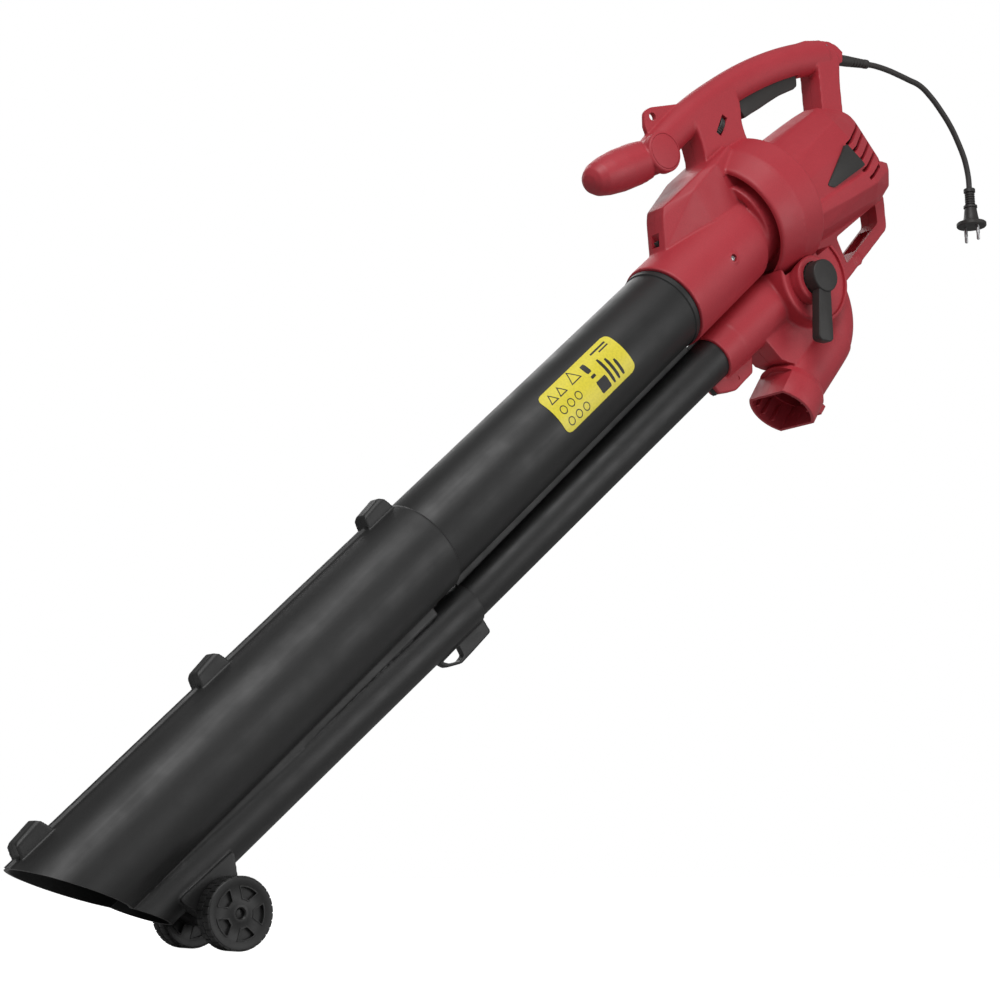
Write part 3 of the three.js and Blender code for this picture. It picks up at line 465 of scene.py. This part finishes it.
def plug():
    """A flat two-pin plug hanging from the end of the cord."""
    a, b = CORD_ROUTE[-2:]
    on = (2 * b[0] - a[0], 2 * b[1] - a[1])
    neck = [(0.3, 3.7), (0.3, 6.6), (1, 7.2), (5, 7.2), (5.6, 5.2)]
    for k in range(5):
        x = 6.5 + 3 * k
        neck += [(x, 5.2), (x + 0.5, 6.2), (x + 1.9, 6.2), (x + 2.4, 5.2)]
    body = neck + [(22.0, 5.4), (22.4, 8.4), (25.2, 8.6), (25.8, 7.4), (27, 7.6), (36, 8.8), (43, 10.2),
                   (44, 11), (44.4, 17.4), (45.4, 18.4), (49, 18.4), (50, 17.6), (50, 4)]
    pins = [moved(lathe([(49.2, 2.3), (60, 2.3), (60.2, 2.0), (67.6, 2.0), (68.6, 1.4), (69, 0.3)], 24), y=y)
            for y in (-9.5, 9.5)]
    obj = build("plug_body", aimed(lathe(body, 48), b, on))
    metal = build("plug_pins", *[aimed(p, b, on) for p in pins])
    return [dressed(obj, DARK, "machine", "dark_plastic", "power_plug"),
            dressed(metal, STEEL, "machine", "steel")]


RELIEF_LENGTH = 58.0
RELIEF_ROOT = (861.0, 72.2)


def strain_relief():
    """A ribbed guard along the line from its root in the handle to the cord's first point."""
    end = CORD_ROUTE[0]
    across, down = end[0] - RELIEF_ROOT[0], end[1] - RELIEF_ROOT[1]
    share = RELIEF_LENGTH / math.hypot(across, down)
    start = (end[0] - across * share, end[1] - down * share)
    profile = [(0, 3.6), (0, 6.9), (20, 6.6), (24, 6.5)]
    for k in range(5):
        x = 25 + 5.4 * k
        r = 6.4 - 0.22 * k
        profile += [(x, r), (x + 2.9, r - 0.1), (x + 3.3, r - 1.1), (x + 4.9, r - 1.1)]
    profile += [(52.5, 5.6), (57, 5.5), (57.7, 5.2), (57.7, 3.6)]
    obj = build("cord_guard", aimed(lathe(profile, 48, True), start, end))
    return dressed(obj, RUBBER, "machine", "cord_rubber", "strain_relief")


flex = cord()
guard = strain_relief()
plug_pieces = plug()


# ---- floor and light ------------------------------------------------------------------------------------
def seen_only(tree, socket, lit, seen):
    """Gives a strength one value as light on the object and another where it is seen directly."""
    path = tree.nodes.new("ShaderNodeLightPath")
    pick = tree.nodes.new("ShaderNodeMapRange")
    pick.inputs["To Min"].default_value = lit
    pick.inputs["To Max"].default_value = seen
    tree.links.new(path.outputs["Is Camera Ray"], pick.inputs["Value"])
    tree.links.new(pick.outputs["Result"], socket)


def studio():
    """A pale floor and a white surround that light the object softly; both are seen as plain white."""
    floor_z = CAD_BOX[0][2] - 0.0005
    corners = np.array([(-9, -9, floor_z), (9, -9, floor_z), (9, 9, floor_z), (-9, 9, floor_z)])
    floor = build("floor", (corners, [(0, 1, 2, 3)]), raw=True)
    paint = bpy.data.materials.new("pale_floor")
    paint.use_nodes = True
    bsdf = paint.node_tree.nodes["Principled BSDF"]
    bsdf.inputs["Base Color"].default_value = (0.45, 0.45, 0.45, 1)
    bsdf.inputs["Roughness"].default_value = 0.8
    bsdf.inputs["Emission Color"].default_value = (1, 1, 1, 1)
    seen_only(paint.node_tree, bsdf.inputs["Emission Strength"], 0.0, 1.0)
    floor.data.materials.append(paint)
    sky = bpy.data.worlds.new("studio")
    sky.use_nodes = True
    back = sky.node_tree.nodes["Background"]
    back.inputs["Color"].default_value = (1, 1, 1, 1)
    seen_only(sky.node_tree, back.inputs["Strength"], 0.25, 1.0)
    bpy.context.scene.world = sky
    bpy.context.scene.view_settings.view_transform = "Standard"
    aim = Vector((-0.25, 0, -0.45))
    lamps = (("key", (-1.45, -1.45, 1.45), 1.7, 44), ("fill", (0.9, -2.1, -0.3), 1.4, 15),
             ("back", (0.4, 1.8, 1.1), 1.4, 14))
    for name, at, size, power in lamps:
        lamp = bpy.data.lights.new(name, "AREA")
        lamp.energy = power
        lamp.size = size
        obj = bpy.data.objects.new(name, lamp)
        obj.location = at
        obj.rotation_euler = (aim - Vector(at)).to_track_quat("-Z", "Y").to_euler()
        bpy.context.scene.collection.objects.link(obj)


studio()

# ---- lower double tube ----------------------------------------------------------------------------------
BLOW_FRONT, BLOW_REAR = (-54.0, -75.2), (458.0, -79.8)
MOUTH_TOP, MOUTH_BOTTOM = (-526.0, 51.0), (-446.0, -90.0)
BOSSES = (-44.0, -278.0, -497.0)
AXLE = (-412.0, -106.0)
blow_at = lambda x: (x, BLOW_FRONT[1] + (x + 54) * (BLOW_REAR[1] - BLOW_FRONT[1]) / 512)


def mouth_cutter(top, bottom, far=-800):
    dx, dz = bottom[0] - top[0], bottom[1] - top[1]
    above, below = (top[0] - dx, top[1] - dz), (bottom[0] + dx, bottom[1] + dz)
    return plate([above, below, (far, below[1]), (far, above[1])], -120, 120)


HOOK_HOLE = [(-51, -98.5), (-53, -109.5), (-61, -110.5), (-72, -104.5), (-77, -98.5)]


def nozzle():
    main = lathe([(-560, 49.2), (-24, 50.4), (-22, 50.2), (-21, 49.4)])
    barrel = cone((-540, -56.5), 27, (-14, -75.5), 22.6)
    strip = plate([(-540, -39.5), (-61, -44), (-61, -55), (-540, -48.5)], -21.5, 21.5)
    web = plate([(-540, -25), (-62, -38), (-62, -72), (-540, -62)], -12, 12)
    ridge = plate([(-540, 44), (-62, 44), (-62, 53), (-540, 52)], -3, 3)
    boss = lambda t: rounded([(-20, 44), (-13 - t, 63 - t), (13 + t, 65.5 - t), (21, 44)], 1.5)
    bosses = [loft([[(x + a, y, z) for a, z in boss(t)] for y, t in ((-9.5, 3), (-7, 0), (7, 0), (9.5, 3))])
              for x in BOSSES]
    eye = plate(rounded([(-10, -88), (-12, -113), (-60, -114), (-78, -105), (-84, -92), (-84, -84)], 3),
                -4, 4)
    leg = rounded([(AXLE[0] - 27, -66), (AXLE[0] - 13, -112), (AXLE[0] + 13, -113), (AXLE[0] + 40, -70)], 6)
    legs = [plate(leg, *sorted((s * 10, s * 29))) for s in (-1, 1)]
    hubs = [pin(AXLE, 12, *sorted((s * 10, s * 30.5))) for s in (-1, 1)]
    obj = fused("nozzle", [main, barrel, strip, web, ridge, eye, *bosses, *legs, *hubs], 1.1, 2)
    air = cone((-540, -56.5), 24.4, (-10, -75.5), 20)
    carved(obj, [bar(-570, 46.2, -50, 46.9), bar(-62, TUBE_R + 0.3, 0, None), air,
                 cone(blow_at(-56), 20, blow_at(5), 20.9), mouth_cutter(MOUTH_TOP, MOUTH_BOTTOM),
                 pin(AXLE, 4.3, -40, 40, 32), plate(rounded(HOOK_HOLE, 2), -20, 20),
                 box(AXLE[0] - 8, AXLE[0] + 8, -9.8, 9.8, -125, -96)])
    return [dressed(part, BLACK, "machine", "black_plastic", node) for part, node in
            zip(halves(obj, "nozzle_half_l", "nozzle_half_r"), ("nozzle_left", "nozzle_right"))]


def screw_head(at, face, radius=3.9, side=-1):
    """A pan head with a crossed recess, facing the machine's left (-1) or right (1)."""
    y = lambda depth: side * depth
    rows = [(face - 0.4, radius), (face + 0.5, radius), (face + 1.2, radius * 0.86),
            (face + 1.6, radius * 0.6)]
    head = loft([[(x, y(d), z) for x, z in circle(r, 32, at)] for d, r in rows])
    cross = [moved(box(-w, w, y(face + 0.5), y(face + 3), -h, h), at[0], 0, at[1], 20)
             for w, h in ((radius * 0.55, 0.42), (0.42, radius * 0.55))]
    return head, cross


def screw(name, at, face, node, radius=3.9, side=1, stem=-9.0):
    """A screw whose head stands on a face at the given height on one side."""
    head, cross = screw_head(at, face, radius, side)
    shank = pin(at, 2.2, *sorted((side * face, side * stem)), 16)
    obj = carved(build(name, head), cross)
    body = build(name + "_stem", shank)
    body.parent = obj
    body.data.materials.append(STEEL)
    return dressed(obj, STEEL, "machine", "steel", node)


def tread(radius, blocks, y0, y1, phase):
    """One row of tread blocks round a wheel, with thin grooves between them."""
    out = []
    for k in range(blocks):
        a = 360 / blocks * (k + phase)
        half = 360 / blocks * 0.44
        arc = [circle(r, 4, (0, 0), a - half, 2 * half) for r in (radius - 2.5, radius)]
        out.append(plate(arc[0] + arc[1][::-1], y0, y1))
    return out


def window(mid, inner, outer, half_in, half_out):
    """The outline of one window between two spokes of a wheel."""
    return rounded(circle(outer, 9, (0, 0), mid - half_out, 2 * half_out)
                   + circle(inner, 5, (0, 0), mid - half_in, 2 * half_in)[::-1], 1.4, 3)


def wheel(name, side, body, node):
    """Two rows of tread blocks, and five recessed windows between raised rims on each face."""
    r, half = 31.7, 10.0
    edge = [(-half + 1.2, 4.4), (-half, 5.4), (-half, 8.0), (-half + 0.5, 8.7), (-half + 0.5, 24.4),
            (-half, 25.1), (-half, 30.0), (-half + 0.9, 31.0), (-0.5, 31.0), (-0.3, 30.5)]
    rows = edge + [(-y, rr) for y, rr in edge[::-1]]
    place = lambda shell: moved(shell, AXLE[0], side * 42.0, AXLE[1])
    turn = np.arange(120) * 2 * math.pi / 120
    body_shell = loft([[(rr * math.cos(t), y, rr * math.sin(t)) for t in turn] for y, rr in rows], True)
    mids = [27.3 + 72 * k for k in range(5)]
    pockets = [plate(window(mid, 12.6, 22.8, 14, 23), *span) for mid in mids
               for span in ((-half - 1, -half + 3.4), (half - 3.4, half + 1))]
    obj = carved(build(name, place(body_shell)), [place(p) for p in pockets])
    rims = []
    for mid in mids:
        wide, slim = window(mid, 11.9, 23.5, 16.5, 24.5), window(mid, 13.0, 22.4, 12.5, 22)
        for y0, y1 in ((-half - 0.02, -half + 1.4), (half - 1.4, half + 0.02)):
            corners = ((wide, y0), (slim, y0), (slim, y1), (wide, y1))
            rims.append(loft([[(x, y, z) for x, z in line] for line, y in corners], True))
    blocks = tread(r, 30, -half + 0.5, -0.5, 0.0) + tread(r, 30, 0.5, half - 0.5, 0.5)
    stop = pin((0, 0), 4.35, *sorted((side * 5.4, side * 6.0)))
    extra = bevelled(build(name + "_detail", *[place(p) for p in rims + blocks + [stop]]), 0.3, 2)
    extra.parent = obj
    extra.data.materials.append(BLACK)
    extra.data.shade_smooth()
    extra.data.set_sharp_from_angle(angle=math.radians(30))
    return dressed(obj, BLACK, body, "black_plastic", node)


def running_gear():
    wheel("wheel_l_tyre", -1, "wheel_l", "wheel_left")
    wheel("wheel_r_tyre", 1, "wheel_r", "wheel_right")


# ---- upper tubes and label --------------------------------------------------------------------------------
def upper_tubes():
    main = lathe([(-60, 45.2), (-60, 46.6), (-59, 47), (402, 47), (403, 48.3), (408.5, 48.5), (409, 47),
                  (454, 47), (455, 46.4), (455, 45)], 128, True)
    web = plate([(-12, -46.4), (408, -46.4), (408, -55.6), (-12, -55.6)], -1.5, 1.5)
    heel = plate([(407, -51.4), (427, -51.4), (427, -55.8), (407, -55.8)], -1.5, 1.5)
    dressed(build("suction_pipe", main, web, heel), BLACK, "machine", "black_plastic", "suction_tube")
    length = math.hypot(BLOW_REAR[0] - BLOW_FRONT[0], BLOW_REAR[1] - BLOW_FRONT[1])
    slim = lathe([(0, 17.8), (0, 19.3), (0.8, 19.7), (length, 25.3), (length, 23.3)], 96, True)
    pipe = build("blower_pipe", aimed(slim, BLOW_FRONT, BLOW_REAR))
    dressed(pipe, BLACK, "machine", "black_plastic", "blow_tube")


LABEL_X = (170.0, 293.0)
LABEL_ANGLE = (43.0, 104.0)


def on_tube(u, v, lift):
    """A point on the suction tube: u along it, v degrees from the top towards the machine's left."""
    r = TUBE_R + lift
    return (u, -r * math.sin(math.radians(v)), r * math.cos(math.radians(v)))


def wrapped(u0, u1, v0, v1, low, high, soft=6.0, columns=24):
    """A rounded rectangle wrapped round the tube, built in rows so that it stays round."""
    edges = np.linspace(v0, v1, columns + 1)
    inset = lambda v: max(0.0, soft - min(v - v0, v1 - v) * 0.82)
    reach = lambda v: soft - math.sqrt(max(0.0, soft ** 2 - inset(v) ** 2))
    rows = [[on_tube(u0 + reach(v), v, low), on_tube(u0 + reach(v), v, high),
             on_tube(u1 - reach(v), v, high), on_tube(u1 - reach(v), v, low)] for v in edges]
    return loft(rows)


def outlined(at, radius, sides, start=0.0):
    """A thin outlined mark, round or with a few sides, on the tube's label."""
    corners = [np.array([math.cos(a), -1.22 * math.sin(a)]) for a in
               math.radians(start) + np.arange(sides) * 2 * math.pi / sides]
    unit = [a + (b - a) * t / 8 for a, b in zip(corners, corners[1:] + corners[:1]) for t in range(8)]
    rings = []
    for r, low, high in ((radius, 0.6, 0.72), (radius - (2.4 if sides == 3 else 1.1), 0.72, 0.6)):
        rings += [[on_tube(at[0] + r * u, at[1] + r * v, h) for u, v in unit] for h in (low, high)]
    return loft(rings, True)


def label():
    """A yellow film with plain bars, triangles and rings on it, and no writing."""
    film = build("label_film", wrapped(*LABEL_X, *LABEL_ANGLE, 0.32, 0.62, 8.0, 40))
    dressed(film, YELLOW, "machine", "yellow", "tube_label", sharp=60)
    marks = [outlined((183 + 15 * k, 58), 7.5, 3, 90) for k in range(2)] + [outlined((221, 56), 10, 3, 90)]
    marks += [outlined((183 + 13 * column, 76 + 17 * row), 4.7, 28)
              for column in range(3) for row in range(2)]
    bars = ((236, 243, 52, 66), (236, 243, 70, 74), (236, 252, 80, 97), (256, 260, 60, 97),
            (264, 268, 66, 97), (272, 276, 74, 97), (258, 284, 49, 51.5), (268, 284, 54, 56))
    marks += [wrapped(*span, 0.6, 0.72, 0.8, 6) for span in bars]
    ink = build("label_marks", *marks)
    dressed(ink, INK, "machine", "yellow")


# ---- head: sleeve, fairing, drum, motor cover and handle ------------------------------------------------
HANDLE_LINE = [(512, 135), (560, 139.5), (610, 139.5), (655, 136), (700, 130), (745, 120.5), (790, 107),
               (838, 88)]
AUX_PIVOT = (511.5, 135.0)
FLAP_CENTRE = (590.0, -85.5)
PORT_RING = (508.0, -177.0)
PORT_DIP = math.radians(15)
SLEEVE_SCREW = (491.0, 1.0)
LEVER_PIVOT = (579.0, -83.0)
HOUSING_SCREWS = [(568, 140, 17.5), (848, 95, 16.5), (774, -102, 13), (504, 72, 31)]
DIAL_CENTRE = (617.5, -5.5, 111.5)
DIAL_TILT = 25.5
VENT_Z = (4.0, -7.0, -20.5, -33.0, -44.5)


def cover_shells():
    """Motor cover: round at the drum, then flat side panels under a ridge, and a bulging band below."""
    arc = lambda x, w, h, mid, last: [(x, w * math.sin(a), mid + h * math.cos(a))
                                      for a in np.linspace(0, last, 16)]
    upper = arc(618, 63, 62, 3, math.pi) + arc(655, 61.5, 60, 0, 0.8) + [
        (700, 0, 58), (700, 26, 53.5), (700, 52, 33), (700, 58, -25), (700, 56, -50), (700, 20, -72),
        (746, 0, 56), (746, 24, 52), (746, 48, 33), (746, 57, 0), (746, 57, -30), (746, 55, -55),
        (766, 0, 53), (766, 20, 50), (788, 36, 8), (792, 38, -44), (770, 48, -62), (780, 20, -80),
        (798, 0, 27), (798, 24, 25), (806, 0, 17), (806, 22, 16), (805, 25, 8), (808, 25, -46), (808, 0, -50)]
    band = [(624, 61, -18), (624, 62, -30), (624, 50, -50), (640, 20, -66), (700, 61.5, -29), (700, 61, -46),
            (700, 44, -64), (700, 0, -76), (746, 60, -36), (746, 59, -55), (750, 40, -74), (760, 0, -86),
            (785, 45, -43), (788, 45, -58), (786, 36, -76), (798, 38, -52), (817, 25, -58), (813, 25, -66),
            (795, 25, -80), (772, 25, -85), (820, 0, -60), (815, 0, -74), (798, 0, -88), (775, 0, -91)]
    return [hull(upper), hull(band)]


def head_shells():
    sleeve = lathe([(SLEEVE_START, SLEEVE_R - 0.6), (SLEEVE_START + 0.8, SLEEVE_R), (575, SLEEVE_R)])
    drum = in_head(lathe([(-0.6, 64), (0, 72.6), (1.2, 73.8), (3, 74.6), (29.4, 82.0), (29.4, 80.9),
                          (31, 80.9), (31, DRUM_R), (66, DRUM_R), (68.6, 80.5), (70, 78)], 128))
    collar = in_head(tube(-4, 30, 56, 47.5))
    fairing = hull([(446, 14, 30), (447, 14, 50), (470, 14, 80), (478, 14, 87), (512, 22, 89),
                    (540, 28, 92), (600, 28, 92), (600, 30, 30), (513, 31, 30), (513, 31, 82),
                    (560, 35.5, 30), (560, 35.5, 88), (446, 4, 52)])
    rim = disc(SLEEVE_SCREW, 6.6, -51.6, -44, 0.6)
    return [sleeve, drum, collar, rim, fairing] + cover_shells()


def handle_shells():
    arch = swept(HANDLE_LINE, 17.5, 20, 72, 48, 2.2)
    end = hull([(800, 0, 124), (800, 14, 112), (822, 8, 117), (846, 6, 105), (860, 6, 96), (867, 7, 86),
                (866, 11, 76), (852, 15, 68), (815, 16, 78)])
    front = plate(rounded([(584, 136), (578, 114), (568, 93), (552, 84), (552, 60), (640, 60), (642, 81),
                           (648, 98), (664, 118), (664, 134)], 9), -17.5, 17.5)
    rear = plate(rounded([(815, 92), (775, 40), (775, 20), (800, 15), (830, 54), (853, 78), (846, 92)], 7),
                 -16, 16)
    lug = disc(AUX_PIVOT, 20, -17.5, 17.5, 1.5)
    eyelet = plate(rounded([(524, 140), (529, 165), (540, 178), (551, 178), (600, 156), (600, 140)], 5),
                   -3, 3)
    return [arch, end, front, rear, lug, eyelet]


def loop_shells():
    outer = rounded([(736, -62), (789, -76), (797, -88), (771, -121), (664, -130), (634, -128),
                     (633, -98), (660, -64)], 6)
    return [plate(outer, -13, 13), disc((700, -121), 7, -14.5, 14.5, 1.5)]


def motor_bay():
    """The room inside the motor cover."""
    return in_head(lathe([(66, 0), (66, 60), (120, 57), (165, 52), (204, 46), (220, 32), (238, 20), (238, 0)],
                         64))


def head():
    obj = fused("head", head_shells() + handle_shells() + loop_shells(), 1.35, 3)
    hollow = [bar(400, TUBE_R + 0.3, 456, None), bar(455.5, 44, 590, None), motor_bay(),
              in_head(bar(50, 8, 70, None, 32)),
              in_head(lathe([(23, 0.02), (23, 68), (31, 78.5), (61, 78.5), (61, 0.02)], 72))]
    loop_hole = plate(rounded([(688, -82), (775, -88), (762, -107), (680, -114.5)], 4), -30, 30)
    pocket = plate(rounded([(706, -110), (748, -105), (752, -113), (706, -118)], 3), -9.5, 9.5)
    vents = []
    for z in VENT_Z:
        plan = [(740, 66), (806, 34), (796, 14), (728, 46)]
        vents += [loft([[(x, side * y, z + dz) for x, y in plan] for dz in (-2.2, 2.2)])
                  for side in (-1, 1)]
    trim = [pin((547, 168), 4.8, -20, 20, 32), box(663, 779, -9, 9, 70, 127),
            moved(box(-12.8, 12.8, -28, -8, -4, 4), DIAL_CENTRE[0], 0, DIAL_CENTRE[2], DIAL_TILT),
            box(449, 459, -6, 6, 49, 80), pin(SLEEVE_SCREW, 4.3, -60, -48.0, 32)]
    carved(obj, hollow + [loop_hole, pocket] + vents + trim)
    less(obj, in_head(lathe([(-8, 56.3), (-8, 69.5), (16, 68.5), (20, 65), (20, 56.3)], 96, True)),
         [box(520, 620, -34.5, 34.5, 20, 100)])
    less(obj, disc(FLAP_CENTRE, 53.2, -45.4, 45.4, 2.5), [head_room(-0.1)])
    carved(obj, [swept(elbow_line(50), 33.6, 33.6, 48, 48)])
    return [dressed(part, RED, "machine", "red_plastic", node) for part, node in
            zip(halves(obj, "head_half_l", "head_half_r"), ("housing_left", "housing_right"))]


# ---- flap housing, elbow and bag port --------------------------------------------------------------------
COVER_BELOW = [(610, -73), (614, 0), (700, 0), (700, -81)]
PORT_RIBS = (-13.0, 0.0, 13.0)


def port_point(along, up):
    """A point by its distance along the bag port's axis from its ring, and its height off the axis."""
    c, s = math.cos(PORT_DIP), math.sin(PORT_DIP)
    return PORT_RING[0] - along * c - up * s, PORT_RING[1] - along * s + up * c


def elbow_line(start, end=-75, extra=4):
    """The bend from the fan outlet down to the port: a round arc, then on along the port's axis."""
    return circle(55, 11, (570, -113), start, end - start) + [port_point(extra, 0)]


def head_room(grow):
    """The drum with some room round it."""
    return in_head(bar(-0.6 - grow, DRUM_R + grow, 69 + grow, None, 128))


def port_flats(inset):
    """What the round port loses for its flat top and bottom."""
    near = 28.5 - inset
    return [plate([port_point(-0.6, side * near), port_point(90, side * near), port_point(90, side * 80),
                   port_point(-0.6, side * 80)], -60, 60) for side in (-1, 1)]


def flap_housing():
    sleeve = [cone(blow_at(428), 28.2, blow_at(458), 29.6), cone(blow_at(458.5), 30.2, blow_at(560), 34)]
    elbow = swept(elbow_line(30), 33, 33, 48, 48)
    boss = disc(LEVER_PIVOT, 27, -55, -40, 1.5)
    wall = plate(rounded([(494, -100), (500, -134), (516, -152), (590, -140), (590, -100)], 4), -22, 22)
    bracket = plate(rounded([(490, -96), (480, -108), (466, -125), (430, -125), (407, -113), (405, -96)],
                            2.5), -8, 8)
    lug = hull([(512, 9, -200), (530, 9, -204), (535, 7, -219), (522, 7, -222)])
    drum = disc(FLAP_CENTRE, 52.6, -45, 45, 2)
    obj = fused("flap", [drum, *sleeve, elbow, boss, wall, bracket, lug], 1.35, 3)
    spout = aimed(lathe([(0, 30), (0, 35), (8.6, 38.6), (9.4, 39), (39.4, 39), (40, 38.4), (40, 30)], 96),
                  port_point(-9, 0), port_point(40, 0))
    tip = carved(build("spout", spout), port_flats(0))
    joined = obj.modifiers.new("spout", "BOOLEAN")
    joined.operation = "UNION"
    joined.solver = "MANIFOLD"
    joined.object = tip
    applied(obj)
    bpy.data.objects.remove(tip)
    carved(obj, [bar(400, SLEEVE_R + 0.3, 575, None), head_room(0.4),
                 plate([(614, -70.3), (614, 0), (700, 0), (700, -78.3)], -70, 70)])
    less(obj, plate(circle(48.3, 72, FLAP_CENTRE), -60, -42), [disc(LEVER_PIVOT, 27.2, -70, -30, 0.5)])
    less(obj, pin(FLAP_CENTRE, 48, -40, 40, 72), [head_room(3), plate(COVER_BELOW, -70, 70),
                                                  bar(400, SLEEVE_R + 3, 575, None)])
    less(obj, cone(port_point(-3.3, 0), 33, port_point(46, 0), 36.4), port_flats(3))
    less(obj, swept(elbow_line(45, -75, 10), 29.8, 29.8, 40, 48), port_flats(3))
    carved(obj, [cone(blow_at(400), 24.9, blow_at(459), 25.7), cone(blow_at(458), 23, blow_at(560), 25),
                 pin(LEVER_PIVOT, 20, -60, -50, 64), box(404, 428.6, -3.3, 3.3, -114, -103),
                 pin((442, -116), 2.6, -30, -7, 24)])
    parts = [dressed(part, RED, "machine", "red_plastic", node) for part, node in
             zip(halves(obj, "flap_half_l", "flap_half_r"), ("flap_housing_left", "flap_housing_right"))]
    ribs = []
    for up in PORT_RIBS:
        reach = math.sqrt(36.2 ** 2 - up ** 2)
        line = [port_point(along, up + off) for along, off in ((4, -0.8), (27, -0.8), (27, 0.8), (4, 0.8))]
        for side in (-1, 1):
            ribs.append(plate(line, *sorted((side * (reach - 8), side * (reach + 0.8)))))
    comb = bevelled(build("port_ribs", *ribs), 0.3, 2)
    return parts + [dressed(comb, RED, "machine", "red_plastic")]


# ---- levers and controls -----------------------------------------------------------------------------------
def selector():
    """The mode lever: a round knob with a ring of fine teeth, and its arm."""
    knob = build("lever_knob", disc(LEVER_PIVOT, 18.7, -71, -50.5, 1.8))
    arm = rounded([(4, -9.3), (17, -9.3), (72, -11.3), (75.5, -7), (75.5, 7), (72, 11.3), (17, 9.3),
                   (4, 9.3)], 3)
    blade = moved(plate(arm, -69.5, -57), LEVER_PIVOT[0], 0, LEVER_PIVOT[1], -133)
    arm_obj = bevelled(build("lever_arm", blade), 1.6, 3, 50)
    arm_obj.parent = knob
    arm_obj.data.materials.append(DARK)
    arm_obj.data.shade_smooth()
    teeth = []
    for k in range(18):
        a = math.radians(20 * k)
        at = (LEVER_PIVOT[0] + 18.9 * math.cos(a), LEVER_PIVOT[1] + 18.9 * math.sin(a))
        teeth.append(pin(at, 1.1, -56, -50.8, 10))
    ring = build("lever_teeth", *teeth)
    ring.parent = knob
    ring.data.materials.append(DARK)
    dressed(knob, DARK, "selector", "black_plastic", "selector_lever")


def aux_handle():
    """The tilting front grip, forked round the handle's end, with a round cap on each side."""
    body = lathe([(10, 20), (10.5, 22), (25, 23.5), (50, 23.5), (70, 21.5), (84, 18.5), (92, 14),
                  (96, 8.5), (97.4, 2)], 72)
    body = moved(body, AUX_PIVOT[0], 0, AUX_PIVOT[1], 180 - 14.3, (1, 1.12, 1))
    obj = fused("aux_grip", [body, disc(AUX_PIVOT, 23, -28, 28, 2.5)], 1.2, 4)
    carved(obj, [box(AUX_PIVOT[0] + 24, 700, -60, 60, 80, 220), pin(AUX_PIVOT, 24, -18.2, 18.2, 72),
                 box(AUX_PIVOT[0], 640, -18.2, 18.2, 90, 175), pin(AUX_PIVOT, 19.9, -40, -26.4, 64),
                 pin(AUX_PIVOT, 19.9, 26.4, 40, 64)])
    dressed(obj, RED, "auxiliary_handle", "red_plastic", "aux_handle")
    for name, side, node in (("aux_button_l", -1, "aux_cap_left"), ("aux_button_r", 1, "aux_cap_right")):
        cap = build(name, disc(AUX_PIVOT, 19.5, *sorted((side * 28.2, side * 26.3)), 0.7))
        dressed(cap, RED, "auxiliary_handle", "red_plastic", node)


def trigger():
    under = [(666, 97), (680, 95.5), (694, 93.5), (714, 91.5), (734, 89), (750, 85.6), (762, 82.6), (769, 83)]
    over = [(775, 90), (775, 99), (752, 103.5), (719, 111), (700, 114.5), (672, 117.4), (666, 108)]
    obj = bevelled(build("trigger_blade", plate(rounded(under + over, 2, 3), -8.2, 8.2)), 1.8, 3, 40)
    dressed(obj, DARK, "trigger_lever", "dark_plastic", "trigger")


def trigger_axle():
    rod = build("trigger_axle", pin((768, 96), 2, -7.9, 7.9, 24))
    dressed(rod, STEEL, "machine", "steel", "trigger_pin")


def dial():
    """A knurled thumbwheel, drawn round y and then turned so that its axis goes across the slot."""
    radius, half = 14.3, 3.1
    rim = [(radius - (0.55 if k % 2 else 0.0)) for k in range(72)]
    rows = []
    for y, shrink in ((-half, 0.8), (-half + 0.8, 0), (half - 0.8, 0), (half, 0.8)):
        turns = [2 * math.pi * k / 72 for k in range(72)]
        rows.append([((r - shrink) * math.cos(t), y, (r - shrink) * math.sin(t)) for r, t in zip(rim, turns)])
    p, faces = loft(rows)
    p = np.stack([p[:, 0], p[:, 2], p[:, 1]], 1)
    shell = moved((p, faces), *DIAL_CENTRE, turn_y=DIAL_TILT)
    dressed(build("dial_wheel", shell), DARK, "dial", "dark_plastic", "speed_dial")


def latches():
    top = build("latch_top", box(449.2, 458.8, -5.6, 5.6, 50.4, 54.6), box(451.8, 456.2, -2.4, 2.4, 54, 60))
    dressed(bevelled(top, 0.5, 2), DARK, "machine", "black_plastic", "tube_latch")
    low = build("latch_low", box(405.2, 428, -3, 3, -113.6, -105))
    dressed(bevelled(low, 0.5, 2), DARK, "machine", "black_plastic", "blow_tube_latch")


def badge():
    outline = rounded([(667, -13), (731, 7), (741, -28), (676, -21)], 4)
    obj = build("side_plate", plate(outline, -61.2, -50))
    dressed(bevelled(obj, 0.4, 2), DARK, "machine", "dark_plastic", "side_badge")


nozzle()
running_gear()
upper_tubes()
label()
head()
flap_housing()
selector()
aux_handle()
trigger()
trigger_axle()
dial()
latches()
badge()
for k, x in enumerate(BOSSES):
    screw(f"nozzle_bolt_{k + 1}", (x, 57), 9.9, f"nozzle_screw_{k + 1}")
for k, (x, z, face) in enumerate(HOUSING_SCREWS):
    screw(f"head_bolt_{k + 1}", (x, z), face + 0.7, f"housing_screw_{k + 1}")
screw("sleeve_bolt", SLEEVE_SCREW, 48.6, "sleeve_screw", 3.5, -1, 47.7)

for subpart in frame["record"]["subparts"]:
    node = frame["nodes"][subpart["node"]]
    if not node.hide_render:
        node.data.materials.clear()
        node.data.materials.append(SLOTS[subpart["material_slot"]])
